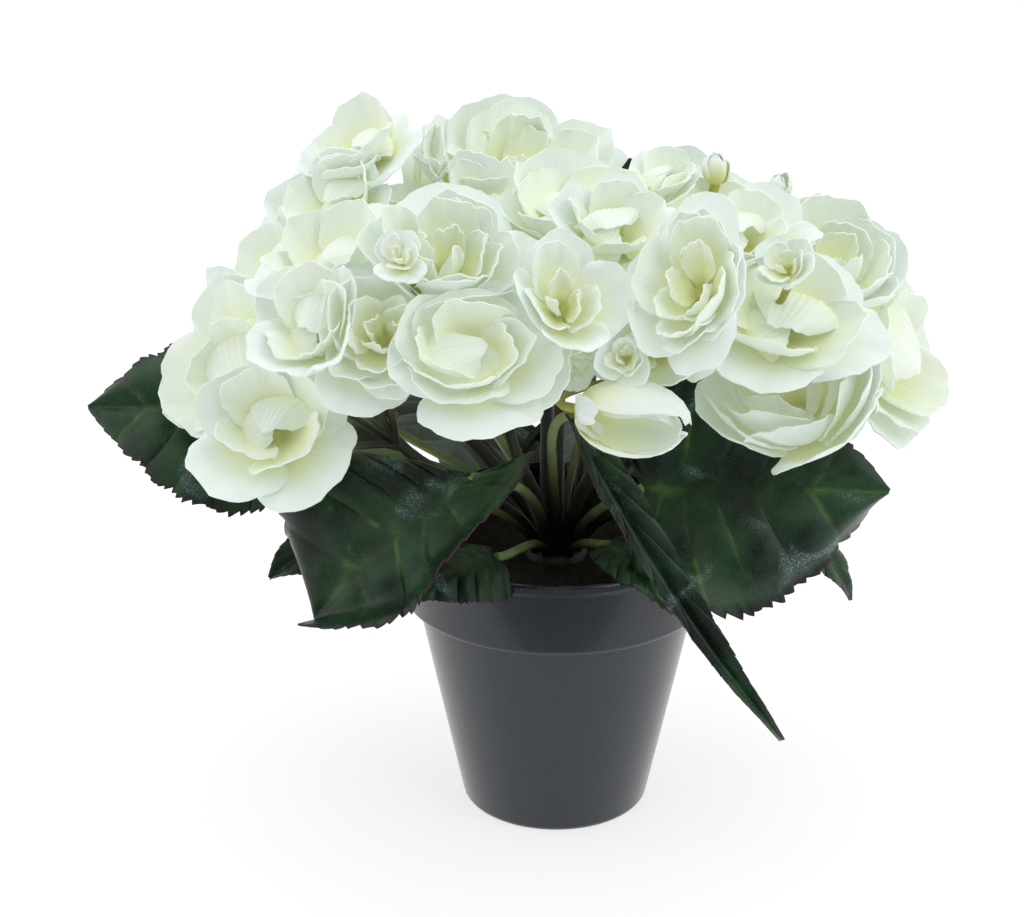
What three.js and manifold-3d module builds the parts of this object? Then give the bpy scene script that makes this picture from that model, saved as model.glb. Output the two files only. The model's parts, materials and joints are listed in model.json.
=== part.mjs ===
// A double-flowered begonia in a plain round pot, in millimetres, +Z up.
// The origin is the centre of the pot's flat bottom, and the side that is meant to be seen first faces -Y.
import * as THREE from "three";
import { mergeVertices } from "three/addons/utils/BufferGeometryUtils.js";
import Module from "manifold-3d";

const wasm = await Module();
wasm.setup();

// Pot
const POT_HEIGHT = 113;
const POT_BASE_RADIUS = 35.6;
const POT_BODY_TOP_RADIUS = 53;
const POT_WALL = 2.6;
const POT_FLOOR = 4;
const COLLAR_BOTTOM_Z = 85;
const COLLAR_BOTTOM_RADIUS = 58;
const COLLAR_TOP_RADIUS = 60;
const POT_EDGE = 1.2;
const POT_FOOT_INSIDE = POT_BASE_RADIUS - POT_WALL + 0.6;
const POT_SIDES = 32;

// Soil, with the plain hole that the root clump stands in
const GAP = 0.3;
const SOIL_RIM_Z = 97;
const SOIL_RINGS = [[45, 1], [34, 3], [23, 3]]; // radius and height over the rim of the soil
const SOIL_MOUND = 4;
const CLOD_HEIGHT = 2.4;
const SOIL_SIDES = 16;
const ROOT_RADIUS = 13;
const ROOT_BOTTOM_Z = 79;
const ROOT_TOP_Z = 104;
const ROOT_SIDES = 10;

// Stems: branches carry the forks, pedicels the blooms and petioles the leaves
const BRANCH = { radius: 2.5, sides: 5 };
const PETIOLE = { radius: 1.7, sides: 4 };
const PEDICEL = { radius: 1.35, sides: 3 };
const TUBE_STEPS = 2;

// Foliage and petals
const PETAL_THICKNESS = 0.8;
const LEAF_THICKNESS = 0.8;
const CLEARANCE = 0.35;

const white = new THREE.MeshStandardMaterial({ color: 0xf1f4ea, roughness: 0.75, side: THREE.DoubleSide });
const leafGreen = new THREE.MeshStandardMaterial({ color: 0x24402c, roughness: 0.4 });
const stemGreen = new THREE.MeshStandardMaterial({ color: 0x6f7f3c, roughness: 0.6 });
const darkPlastic = new THREE.MeshStandardMaterial({ color: 0x4a4d51, roughness: 0.35 });
const darkSoil = new THREE.MeshStandardMaterial({ color: 0x1b1613, roughness: 0.95 });

const radians = THREE.MathUtils.degToRad;
const vector = (p) => new THREE.Vector3(...p);

// A repeatable number from 0 to 1 for a piece's seed and up to three counters.
function chance(seed, a = 0, b = 0, c = 0) {
  const mixed = Math.sin(seed * 12.9898 + a * 78.233 + b * 37.719 + c * 9.131) * 43758.5453;
  return mixed - Math.floor(mixed);
}

// Solids

function solidOf(geometry) {
  const bare = geometry.clone();
  bare.deleteAttribute("normal");
  bare.deleteAttribute("uv");
  const merged = mergeVertices(bare, 1e-4);
  return new wasm.Manifold(
    new wasm.Mesh({
      numProp: 3,
      vertProperties: new Float32Array(merged.attributes.position.array),
      triVerts: new Uint32Array(merged.index.array),
    }),
  );
}

function solidOfFaces(points, faces) {
  return new wasm.Manifold(
    new wasm.Mesh({
      numProp: 3,
      vertProperties: new Float32Array(points.flatMap((p) => [p.x, p.y, p.z])),
      triVerts: new Uint32Array(faces.flat()),
    }),
  );
}

function geometryOf(solid) {
  const mesh = solid.getMesh();
  const positions = new Float32Array(mesh.numVert * 3);
  for (let i = 0; i < mesh.numVert; i++) {
    positions.set(mesh.vertProperties.subarray(i * mesh.numProp, i * mesh.numProp + 3), i * 3);
  }
  const geometry = new THREE.BufferGeometry();
  geometry.setAttribute("position", new THREE.BufferAttribute(positions, 3));
  geometry.setIndex(new THREE.BufferAttribute(new Uint32Array(mesh.triVerts), 1));
  const flat = geometry.toNonIndexed();
  flat.computeVertexNormals();
  return flat;
}

// The largest body of a solid, so that a scrap that a cut leaves loose is dropped.
function largest(solid) {
  return solid.decompose().reduce((best, body) => (body.volume() > best.volume() ? body : best));
}

function near(solidA, solidB) {
  const a = solidA.boundingBox();
  const b = solidB.boundingBox();
  return [0, 1, 2].every((i) => a.min[i] < b.max[i] && b.min[i] < a.max[i]);
}

// A sheet of triangles made a blade: both faces lie half the thickness off the sheet, split alike, and a
// rim closes them.
function blade(points, faces, thickness) {
  const normals = points.map(() => new THREE.Vector3());
  const edges = new Map();
  for (const [a, b, c] of faces) {
    const across = points[b].clone().sub(points[a]);
    const normal = across.cross(points[c].clone().sub(points[a]));
    for (const corner of [a, b, c]) normals[corner].add(normal);
    for (const [from, to] of [[a, b], [b, c], [c, a]]) {
      const back = `${to},${from}`;
      if (edges.has(back)) edges.delete(back);
      else edges.set(`${from},${to}`, [from, to]);
    }
  }
  normals.forEach((n) => n.setLength(thickness / 2));
  const upper = points.map((p, i) => p.clone().add(normals[i]));
  const lower = points.map((p, i) => p.clone().sub(normals[i]));
  const count = points.length;
  const closed = faces.flatMap(([a, b, c]) => [[a, b, c], [count + a, count + c, count + b]]);
  for (const [from, to] of edges.values()) {
    closed.push([to, from, count + from], [to, count + from, count + to]);
  }
  return solidOfFaces([...upper, ...lower], closed);
}

// The points of a sheet moved out from their middle, for a copy that leaves clearance round the piece.
function spread(points, distance) {
  const middle = points.reduce((sum, p) => sum.add(p), new THREE.Vector3()).divideScalar(points.length);
  return points.map((p) => {
    const out = p.clone().sub(middle);
    return p.clone().add(out.setLength(distance));
  });
}

// Pot and soil

function lathe(profile, sides) {
  const outline = profile.map(([r, z]) => new THREE.Vector2(r, z));
  return new THREE.LatheGeometry(outline, sides).rotateX(Math.PI / 2);
}

function potGeometry() {
  return lathe(
    [
      [0, 0],
      [POT_BASE_RADIUS - POT_EDGE, 0],
      [POT_BASE_RADIUS, POT_EDGE],
      [POT_BODY_TOP_RADIUS, COLLAR_BOTTOM_Z],
      [COLLAR_BOTTOM_RADIUS, COLLAR_BOTTOM_Z],
      [COLLAR_TOP_RADIUS, POT_HEIGHT - POT_EDGE],
      [COLLAR_TOP_RADIUS - POT_EDGE, POT_HEIGHT],
      [COLLAR_TOP_RADIUS - POT_WALL, POT_HEIGHT - POT_EDGE / 2],
      [COLLAR_BOTTOM_RADIUS - POT_WALL, COLLAR_BOTTOM_Z + POT_WALL],
      [POT_BODY_TOP_RADIUS - POT_WALL, COLLAR_BOTTOM_Z - POT_WALL],
      [POT_FOOT_INSIDE, POT_FLOOR],
      [0, POT_FLOOR],
    ],
    POT_SIDES,
  );
}

// The pot's inner radius at a height between its floor and its rim.
function potInside(z) {
  const kinks = [
    [POT_FLOOR, POT_FOOT_INSIDE],
    [COLLAR_BOTTOM_Z - POT_WALL, POT_BODY_TOP_RADIUS - POT_WALL],
    [COLLAR_BOTTOM_Z + POT_WALL, COLLAR_BOTTOM_RADIUS - POT_WALL],
    [POT_HEIGHT, COLLAR_TOP_RADIUS - POT_WALL],
  ];
  const i = kinks.findIndex(([height], k) => k > 0 && z <= height);
  const [z0, r0] = kinks[i - 1];
  const [z1, r1] = kinks[i];
  return r0 + ((r1 - r0) * (z - z0)) / (z1 - z0);
}

function soilGeometry() {
  const hole = ROOT_RADIUS + GAP;
  const heights = [POT_FLOOR + GAP, COLLAR_BOTTOM_Z - POT_WALL, COLLAR_BOTTOM_Z + POT_WALL, SOIL_RIM_Z];
  const wall = heights.map((z) => [potInside(z) - 2 * GAP, z]);
  const soil = lathe(
    [
      [0, POT_FLOOR + GAP],
      ...wall,
      ...SOIL_RINGS.map(([radius, rise]) => [radius, SOIL_RIM_Z + rise]),
      [hole, SOIL_RIM_Z + SOIL_MOUND],
      [hole, ROOT_BOTTOM_Z],
      [0, ROOT_BOTTOM_Z],
    ],
    SOIL_SIDES,
  );
  // Clods: the top's inner rings rise and fall by a fixed draw.
  const place = soil.attributes.position;
  for (let i = 0; i < place.count; i++) {
    const r = Math.hypot(place.getX(i), place.getY(i));
    if (place.getZ(i) > SOIL_RIM_Z + 0.5 && r > hole + 1) {
      const turn = Math.round((Math.atan2(place.getX(i), -place.getY(i)) / (2 * Math.PI)) * SOIL_SIDES);
      const lump = chance(5, (turn + SOIL_SIDES) % SOIL_SIDES, Math.round(r));
      place.setZ(i, place.getZ(i) + CLOD_HEIGHT * (lump - 0.5));
    }
  }
  return soil;
}

// Blooms. Each stands at a middle point and faces along a direction; its radius is the length of its outer
// petals. form: full is a many-petalled double bloom, half is half open, bud is closed.
const BLOOMS = [
  { name: "bloom_front", form: "full", at: [-28, -94, 213], face: [-0.05, -0.68, 0.73], radius: 34 },
  { name: "bloom_upper_front", form: "full", at: [-42, -62, 241], face: [0.05, -0.85, 0.52], radius: 29 },
  { name: "bloom_crown", form: "full", at: [-17, 8, 250], face: [0.05, -0.5, 0.86], radius: 34 },
  { name: "bloom_crown_front", form: "full", at: [0, -34, 243], face: [0.2, -0.6, 0.77], radius: 30 },
  { name: "bloom_upper_left", form: "full", at: [-81, -12, 249], face: [-0.6, -0.55, 0.57], radius: 29 },
  { name: "bloom_upper_left_top", form: "half", at: [-70, 2, 258], face: [-0.1, -0.4, 0.9], radius: 22 },
  { name: "bloom_left", form: "full", at: [-113, -48, 195], face: [-0.62, -0.75, 0.22], radius: 33 },
  { name: "bloom_left_low", form: "full", at: [-97, -70, 179], face: [-0.15, -0.92, -0.05], radius: 29 },
  { name: "bloom_left_middle", form: "half", at: [-84, -84, 223], face: [-0.4, -0.85, 0.3], radius: 28 },
  { name: "bloom_left_inner", form: "half", at: [-61, -76, 219], face: [0.05, -0.92, 0.35], radius: 30 },
  { name: "bloom_left_green", form: "half", at: [-52, -100, 247], face: [-0.1, -0.7, 0.7], radius: 17 },
  { name: "bloom_left_shoulder", form: "half", at: [-79, -56, 233], face: [-0.35, -0.6, 0.7], radius: 29 },
  { name: "bloom_left_small", form: "half", at: [-99, -22, 222], face: [-0.7, -0.35, 0.6], radius: 23 },
  { name: "bloom_middle_small", form: "half", at: [1, -92, 231], face: [0.1, -0.85, 0.5], radius: 22 },
  { name: "bud_middle_low", form: "bud", at: [5, -86, 207], face: [0.2, -0.95, 0], radius: 10 },
  { name: "bloom_right_crown", form: "full", at: [18, -54, 244], face: [0.3, -0.7, 0.62], radius: 27 },
  { name: "bloom_right_cup", form: "full", at: [42, -92, 237], face: [-0.45, -0.8, 0.4], radius: 25 },
  { name: "bloom_right_under", form: "half", at: [29, -68, 213], face: [-0.1, -0.95, 0.25], radius: 29 },
  { name: "bud_right_under", form: "bud", at: [20, -98, 214], face: [-0.1, -0.98, 0.15], radius: 10 },
  { name: "bud_right_low", form: "bud", at: [21, -100, 193], face: [0.92, -0.38, -0.12], radius: 20 },
  { name: "bloom_right_low", form: "full", at: [78, -60, 182], face: [-0.1, -0.75, 0.65], radius: 31 },
  { name: "bloom_right_middle", form: "full", at: [76, -62, 216], face: [0.3, -0.75, 0.58], radius: 30 },
  { name: "bud_right_middle", form: "bud", at: [72, -84, 239], face: [0.2, -0.7, 0.7], radius: 10 },
  { name: "bloom_right_upper", form: "half", at: [64, -48, 240], face: [0.1, -0.6, 0.8], radius: 24 },
  { name: "bloom_far_right", form: "full", at: [120, -10, 185], face: [0.75, -0.6, 0.2], radius: 32 },
  { name: "bloom_right_shoulder", form: "full", at: [100, -12, 220], face: [0.5, -0.6, 0.62], radius: 28 },
  { name: "bloom_right_top", form: "half", at: [91, 16, 224], face: [0.3, -0.1, 0.93], radius: 20 },
  { name: "bloom_top_right", form: "half", at: [40, -10, 246], face: [0.1, -0.35, 0.93], radius: 20 },
  { name: "bud_top_right", form: "bud", at: [55, -4, 248], face: [0.1, 0, 0.99], radius: 7.5 },
  { name: "bud_top_far_right", form: "bud", at: [78, 6, 235], face: [0.2, -0.1, 0.97], radius: 6.5 },
  { name: "bloom_top_left", form: "half", at: [-45, 2, 251], face: [-0.1, -0.45, 0.88], radius: 24 },
  { name: "bloom_top_middle", form: "half", at: [52, -16, 234], face: [0.25, -0.45, 0.85], radius: 25 },
  { name: "bloom_back_right", form: "full", at: [105, 44, 190], face: [0.82, 0.45, 0.35], radius: 34 },
  { name: "bloom_back_right_low", form: "full", at: [70, 84, 183], face: [0.55, 0.8, 0.2], radius: 35 },
  { name: "bloom_back", form: "full", at: [16, 102, 188], face: [0.1, 0.97, 0.2], radius: 36 },
  { name: "bloom_back_left_low", form: "full", at: [-42, 92, 184], face: [-0.4, 0.9, 0.15], radius: 35 },
  { name: "bloom_back_left", form: "full", at: [-92, 56, 190], face: [-0.75, 0.6, 0.25], radius: 35 },
  { name: "bloom_back_upper_right", form: "full", at: [58, 44, 224], face: [0.45, 0.5, 0.74], radius: 32 },
  { name: "bloom_back_upper", form: "full", at: [8, 62, 234], face: [0.05, 0.7, 0.71], radius: 34 },
  { name: "bloom_back_upper_left", form: "full", at: [-48, 46, 231], face: [-0.4, 0.6, 0.69], radius: 32 },
  { name: "bloom_back_far_left", form: "half", at: [-116, 12, 185], face: [-0.92, 0.2, 0.3], radius: 26 },
  { name: "bloom_top_back_right", form: "half", at: [64, 20, 232], face: [0.2, 0.1, 0.97], radius: 20 },
  { name: "bloom_top_back_left", form: "half", at: [-27, -18, 244], face: [-0.1, -0.5, 0.85], radius: 25 },
  { name: "bloom_back_left_top", form: "half", at: [-88, 28, 223], face: [-0.6, 0.3, 0.74], radius: 22 },
];

// Petal layers, outermost first, each of five petals that stand on the bloom's heart between two of its
// rings. Lengths, widths and root sizes are shares of the bloom's radius, lean is a petal's angle from the
// bloom's axis at its root and at its tip, and wrap is the radius that it cups to. rows are a petal's rows
// of points past its root.
const PETALS = 5;
const ROUND_ROWS = [{ s: 0.5, columns: [-1, 0, 1] }, { s: 1, columns: [-1, 0, 1] }];
const BLUNT_ROWS = [{ s: 0.5, columns: [-1, 0, 1] }, { s: 1, columns: [-0.8, 0.8] }];
const SHORT_ROWS = [{ s: 1, columns: [-0.9, 0.9] }];
const LAYERS = {
  full: [
    {
      length: 0.95, width: 1.05, rootHeight: 0.12, rootRadius: 0.2,
      lean: [62, 98], wrap: 1.3, rows: ROUND_ROWS,
    },
    {
      length: 0.78, width: 0.95, rootHeight: 0.27, rootRadius: 0.22,
      lean: [34, 66], wrap: 0.8, rows: BLUNT_ROWS,
    },
    {
      length: 0.5, width: 0.6, rootHeight: 0.4, rootRadius: 0.17,
      lean: [12, 40], wrap: 0.5, rows: SHORT_ROWS,
    },
  ],
  half: [
    {
      length: 0.98, width: 1, rootHeight: 0.14, rootRadius: 0.2,
      lean: [30, 62], wrap: 0.75, rows: ROUND_ROWS,
    },
    {
      length: 0.66, width: 0.7, rootHeight: 0.34, rootRadius: 0.18,
      lean: [8, 34], wrap: 0.5, rows: SHORT_ROWS,
    },
  ],
  bud: [],
};
const HEART_HEIGHT = { full: 0.72, half: 0.74, bud: 1.5 };
const HEART_WIDTH = { full: 0.26, half: 0.26, bud: 0.74 };
const ROOT_THICKNESS = 1.3;
const SEAT_RADIUS = 2;
// The rings of a closed bud: radius and height, as shares of its radius.
const BUD_RINGS = [[0.62, 0.3], [0.72, 0.75], [0.46, 1.2]];
const MIDDLE_SHARE = { full: 0.4, half: 0.4, bud: 0.75 }; // how far a bloom's middle lies above its seat
const BUD_ROOM = 0.85;
const NEIGHBOUR_REACH = 1.05; // blooms further apart than this share of their radii don't meet
const PETAL_MARGIN = 0.55; // what a petal keeps from the edge of its own sector
const MOST_CLOSING = 6;
const CLOSING = { root: 0.06, tip: 0.11, length: 0.035 }; // what a step takes off the leans and the length
const PETAL_WAVE = 0.045;
const PETAL_STAND = 0.5; // how far a petal at least leans out on its way up, by its root's radius
const SPREAD = { sector: 0.12, length: 0.14, width: 0.12, lean: 12 }; // how far the draws reach

function bloomFrame(bloom, index) {
  const axis = vector(bloom.face).normalize();
  const hint = Math.abs(axis.z) < 0.9 ? new THREE.Vector3(0, 0, 1) : new THREE.Vector3(0, 1, 0);
  const east = hint.clone().cross(axis).normalize();
  const north = axis.clone().cross(east);
  const base = vector(bloom.at).addScaledVector(axis, -MIDDLE_SHARE[bloom.form] * bloom.radius);
  return { axis, east, north, base, seed: 3 + index * 1.7 };
}

function inBloom(frame, turn, radial, side, axial) {
  const [cos, sin] = [Math.cos(turn), Math.sin(turn)];
  return frame.base
    .clone()
    .addScaledVector(frame.east, cos * radial - sin * side)
    .addScaledVector(frame.north, sin * radial + cos * side)
    .addScaledVector(frame.axis, axial);
}

// The directions, round the bloom's axis, that part the petals of a layer. Each layer is half a petal on
// from the last.
function sectorTurn(frame, layerIndex, k) {
  const uneven = SPREAD.sector * (chance(frame.seed, layerIndex + 1, (k % PETALS) + 1) - 0.5);
  return ((k + 0.5 * layerIndex + uneven) / PETALS) * 2 * Math.PI + frame.seed;
}

// One petal's sizes, from its layer's shares and the bloom's own draws. closing, in steps, folds it to the
// axis.
function petalOf(bloom, frame, layerIndex, k, closing) {
  const layer = LAYERS[bloom.form][layerIndex];
  const draw = (channel) => chance(frame.seed, layerIndex + 4, k + 1, channel) - 0.5;
  const from = sectorTurn(frame, layerIndex, k);
  const to = sectorTurn(frame, layerIndex, k + 1);
  const closed = [1 - CLOSING.root * closing, 1 - CLOSING.tip * closing];
  return {
    turn: (from + to) / 2,
    halfSector: (to - from) / 2,
    length: bloom.radius * layer.length * (1 + SPREAD.length * draw(2)) * (1 - CLOSING.length * closing),
    width: bloom.radius * layer.width * (1 + SPREAD.width * draw(3)),
    rootHeight: bloom.radius * layer.rootHeight + ROOT_THICKNESS / 2,
    rootRadius: bloom.radius * layer.rootRadius,
    lean: layer.lean.map((angle, end) => radians((angle + SPREAD.lean * draw(4 + end)) * closed[end])),
    wrap: bloom.radius * layer.wrap,
    wave: bloom.radius * PETAL_WAVE,
    phase: 2 * Math.PI * draw(6),
    rows: layer.rows,
  };
}

// A point of a petal. s runs from root to tip, w from one side, -1, to the other, 1, and lift is towards
// the axis. The petal's line is an arc whose angle from the axis goes evenly from lean[0] to lean[1], and
// across it the petal is an arc of radius wrap. A point stays inside the petal's own sector.
function petalPoint(frame, petal, s, w, lift) {
  const swell =
    s < 0.6 ? 0.55 + 0.45 * Math.sin((Math.PI / 2) * (s / 0.6)) : 1 - 0.34 * ((s - 0.6) / 0.4) ** 2;
  const across = w * (petal.width / 2) * swell;
  const reach = s * (1 - 0.2 * w * w * s);
  const [start, end] = petal.lean;
  const bend = end - start;
  const angle = start + bend * reach;
  const turn = across / petal.wrap;
  const wave = petal.wave * s * s * Math.sin(petal.phase + 2.6 * Math.PI * w);
  const inward = petal.wrap * (1 - Math.cos(turn)) + wave + lift;
  const along = (petal.length * (Math.cos(start) - Math.cos(angle))) / bend;
  const least = petal.rootRadius * (1 + PETAL_STAND * s) - lift;
  const radial = Math.max(petal.rootRadius + along - Math.cos(angle) * inward, least);
  const above = (petal.length * (Math.sin(angle) - Math.sin(start))) / bend;
  const axial = petal.rootHeight + above + Math.sin(angle) * inward;
  const room = radial * Math.tan(petal.halfSector) - PETAL_MARGIN / Math.cos(petal.halfSector);
  const side = Math.min(Math.abs(petal.wrap * Math.sin(turn)), Math.max(room, 0.4)) * Math.sign(w);
  return inBloom(frame, petal.turn, radial, side, axial);
}

// How far from a bloom's middle the plane lies that parts it from another: where the two blooms' spheres
// would meet, except that a bud keeps its whole width beside an open bloom.
function partingReach(bloom, other, distance) {
  const budRoom = (bud) => BUD_ROOM * bud.radius;
  if (bloom.form === "bud" && other.form !== "bud") return budRoom(bloom);
  if (other.form === "bud" && bloom.form !== "bud") return distance - budRoom(other);
  return (distance ** 2 + bloom.radius ** 2 - other.radius ** 2) / (2 * distance);
}

// The planes that part a bloom from its neighbours.
function partingPlanes(bloom) {
  const middle = vector(bloom.at);
  return BLOOMS.filter((other) => other !== bloom).flatMap((other) => {
    const towards = vector(other.at).sub(middle);
    const distance = towards.length();
    if (distance > (bloom.radius + other.radius) * NEIGHBOUR_REACH) return [];
    const normal = towards.normalize();
    return [{ normal, offset: normal.dot(middle) + partingReach(bloom, other, distance) - CLEARANCE / 2 }];
  });
}

const isClear = (points, planes) =>
  points.every((p) => planes.every(({ normal, offset }) => normal.dot(p) <= offset));

function petalOutline(frame, petal) {
  const lifts = [-PETAL_THICKNESS / 2, PETAL_THICKNESS / 2];
  return petal.rows.flatMap(({ s, columns }) =>
    columns.flatMap((w) => lifts.map((lift) => petalPoint(frame, petal, s, w, lift))),
  );
}

// How far, in steps, each petal of a layer closes to stay clear of the parting planes. Neighbouring petals
// and the layer inside follow, so that no petal passes through another.
function closings(bloom, frame, planes, layerIndex, outer) {
  const steps = Array.from({ length: PETALS }, (_, k) => {
    const under = outer ? Math.max(outer[k], outer[(k + 1) % PETALS]) - 1 : 0;
    let step = Math.max(0, under);
    const clearAt = (n) => isClear(petalOutline(frame, petalOf(bloom, frame, layerIndex, k, n)), planes);
    while (step < MOST_CLOSING && !clearAt(step)) step += 1;
    return step;
  });
  return steps.map((step, k) =>
    Math.max(step, steps[(k + 1) % PETALS] - 2, steps[(k + PETALS - 1) % PETALS] - 2),
  );
}

function petalsOf(bloom, frame, planes) {
  let steps;
  return LAYERS[bloom.form].map((_, layerIndex) => {
    steps = closings(bloom, frame, planes, layerIndex, steps);
    return steps.map((closing, k) => petalOf(bloom, frame, layerIndex, k, closing));
  });
}

// The triangles between a row of points, a, and the next, b, by how many points the two rows have.
const FANS = {
  22: [["a0", "b0", "b1"], ["a0", "b1", "a1"]],
  23: [["a0", "b0", "b1"], ["a0", "b1", "a1"], ["a1", "b1", "b2"]],
  32: [["a0", "b0", "a1"], ["b0", "b1", "a1"], ["a1", "b1", "a2"]],
  33: [["a0", "b0", "a1"], ["b0", "b1", "a1"], ["a1", "b1", "b2"], ["a1", "b2", "a2"]],
};

// A closed body grown ring by ring: points are added to it, and faces name them.
class Body {
  points = [];
  faces = [];
  add(point) {
    return this.points.push(point) - 1;
  }
  ring(frame, turns, radius, height) {
    return turns.map((turn) => this.add(inBloom(frame, turn, radius, 0, height)));
  }
  band(lower, upper) {
    lower.forEach((a, k) => {
      const next = (k + 1) % lower.length;
      this.faces.push([a, lower[next], upper[next]], [a, upper[next], upper[k]]);
    });
  }
  cap(ring, tip, up) {
    ring.forEach((a, k) => {
      const next = ring[(k + 1) % ring.length];
      this.faces.push(up ? [a, next, tip] : [next, a, tip]);
    });
  }
  // A strip of triangles between two rows of points, one each on the two faces of a blade, and its two side
  // rims.
  strip(from, to) {
    const fans = FANS[`${from.upper.length}${to.upper.length}`];
    for (const face of ["upper", "lower"]) {
      const corner = (name) => (name[0] === "a" ? from : to)[face][Number(name[1])];
      for (const names of fans) {
        const corners = names.map(corner);
        this.faces.push(face === "upper" ? corners : corners.reverse());
      }
    }
    const [u0, l0, v0, m0] = [from.upper[0], from.lower[0], to.upper[0], to.lower[0]];
    const [u1, l1, v1, m1] = [from.upper.at(-1), from.lower.at(-1), to.upper.at(-1), to.lower.at(-1)];
    this.faces.push([l0, m0, v0], [l0, v0, u0], [l1, v1, m1], [l1, u1, v1]);
  }
  edge({ upper, lower }) {
    for (let i = 0; i < upper.length - 1; i++) {
      this.faces.push([lower[i], lower[i + 1], upper[i + 1]], [lower[i], upper[i + 1], upper[i]]);
    }
  }
  solid() {
    return solidOfFaces(this.points, this.faces);
  }
}

function bloomSolid(bloom, frame) {
  const planes = partingPlanes(bloom);
  const body = new Body();
  const turns = (layerIndex) => Array.from({ length: PETALS }, (_, k) => sectorTurn(frame, layerIndex, k));
  const seatRadius = Math.min(SEAT_RADIUS, bloom.radius * 0.4);
  let below = body.ring(frame, turns(0), seatRadius, 0);
  body.cap(below, body.add(frame.base.clone()), false);
  petalsOf(bloom, frame, planes).forEach((petals, layerIndex) => {
    const { rootRadius, rootHeight } = petals[0];
    const lower = body.ring(frame, turns(layerIndex), rootRadius, rootHeight - ROOT_THICKNESS / 2);
    const upper = body.ring(frame, turns(layerIndex), rootRadius, rootHeight + ROOT_THICKNESS / 2);
    body.band(below, lower);
    petals.forEach((petal, k) => {
      const next = (k + 1) % PETALS;
      let from = { lower: [lower[k], lower[next]], upper: [upper[k], upper[next]] };
      for (const { s, columns } of petal.rows) {
        const row = (lift) => columns.map((w) => body.add(petalPoint(frame, petal, s, w, lift)));
        const to = { lower: row(-PETAL_THICKNESS / 2), upper: row(PETAL_THICKNESS / 2) };
        body.strip(from, to);
        from = to;
      }
      body.edge(from);
    });
    below = upper;
  });
  if (bloom.form === "bud") {
    for (const [radius, height] of BUD_RINGS) {
      const ring = body.ring(frame, turns(0), bloom.radius * radius, bloom.radius * height);
      body.band(below, ring);
      below = ring;
    }
  }
  const top = frame.base.clone().addScaledVector(frame.axis, bloom.radius * HEART_HEIGHT[bloom.form]);
  body.cap(below, body.add(top), true);
  let solid = body.solid();
  for (const { normal, offset } of planes) {
    if (!isClear(body.points, [{ normal, offset }])) {
      solid = solid.trimByPlane(normal.clone().negate().toArray(), -offset);
    }
  }
  return solid;
}

const ROOM_FACES = [[0, 1, 2], [0, 2, 3], [1, 4, 2], [4, 5, 2], [2, 5, 6], [2, 6, 3]];

// The room that other pieces leave a bloom: each petal and the heart, thicker and wider by the clearance.
function bloomRoom(bloom, frame) {
  const reach = CLEARANCE + PETAL_THICKNESS / 2;
  const heart = new THREE.IcosahedronGeometry(1, 1);
  const half = (bloom.radius * HEART_HEIGHT[bloom.form]) / 2;
  const wide = bloom.radius * HEART_WIDTH[bloom.form] + CLEARANCE;
  heart.applyMatrix4(
    new THREE.Matrix4()
      .makeBasis(frame.east, frame.north, frame.axis)
      .scale(new THREE.Vector3(wide, wide, half))
      .setPosition(frame.base.clone().addScaledVector(frame.axis, half)),
  );
  let room = solidOf(heart);
  for (const petal of petalsOf(bloom, frame, partingPlanes(bloom)).flat()) {
    const rows = [0.5, 1].flatMap((s) => [-1, 0, 1].map((w) => petalPoint(frame, petal, s, w, 0)));
    const sheet = [petalPoint(frame, petal, 0, 0, 0), ...rows];
    room = room.add(blade(spread(sheet, CLEARANCE), ROOM_FACES, 2 * reach));
  }
  return room;
}

// Stems: each fork carries a few blooms, and a branch runs from the root clump up to it.
const FORKS = [
  { at: [-18, -44, 168], blooms: ["bloom_front", "bloom_upper_front", "bud_middle_low", "bloom_left_green"] },
  { at: [-58, -36, 160], blooms: ["bloom_left_low", "bloom_left_middle", "bloom_left_inner", "bloom_left"] },
  {
    at: [-58, -4, 182],
    blooms: [
      "bloom_upper_left",
      "bloom_upper_left_top",
      "bloom_left_small",
      "bloom_left_shoulder",
      "bloom_top_left",
    ],
  },
  {
    at: [-4, -8, 200],
    blooms: [
      "bloom_crown",
      "bloom_crown_front",
      "bloom_top_back_left",
      "bloom_top_right",
      "bud_top_right",
    ],
  },
  {
    at: [20, -42, 172],
    blooms: [
      "bloom_right_cup",
      "bloom_right_crown",
      "bloom_middle_small",
      "bloom_right_under",
      "bud_right_under",
      "bud_right_middle",
    ],
  },
  { at: [46, -22, 186], blooms: ["bloom_right_low", "bloom_right_middle", "bud_right_low"] },
  {
    at: [58, 0, 176],
    blooms: [
      "bloom_far_right",
      "bloom_right_shoulder",
      "bloom_right_top",
      "bud_top_far_right",
      "bloom_top_middle",
      "bloom_right_upper",
    ],
  },
  {
    at: [48, 38, 168],
    blooms: ["bloom_back_right", "bloom_back_right_low", "bloom_back_upper_right", "bloom_top_back_right"],
  },
  { at: [2, 52, 172], blooms: ["bloom_back", "bloom_back_upper"] },
  {
    at: [-52, 34, 166],
    blooms: [
      "bloom_back_left_low",
      "bloom_back_left",
      "bloom_back_upper_left",
      "bloom_back_far_left",
      "bloom_back_left_top",
    ],
  },
];

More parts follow.
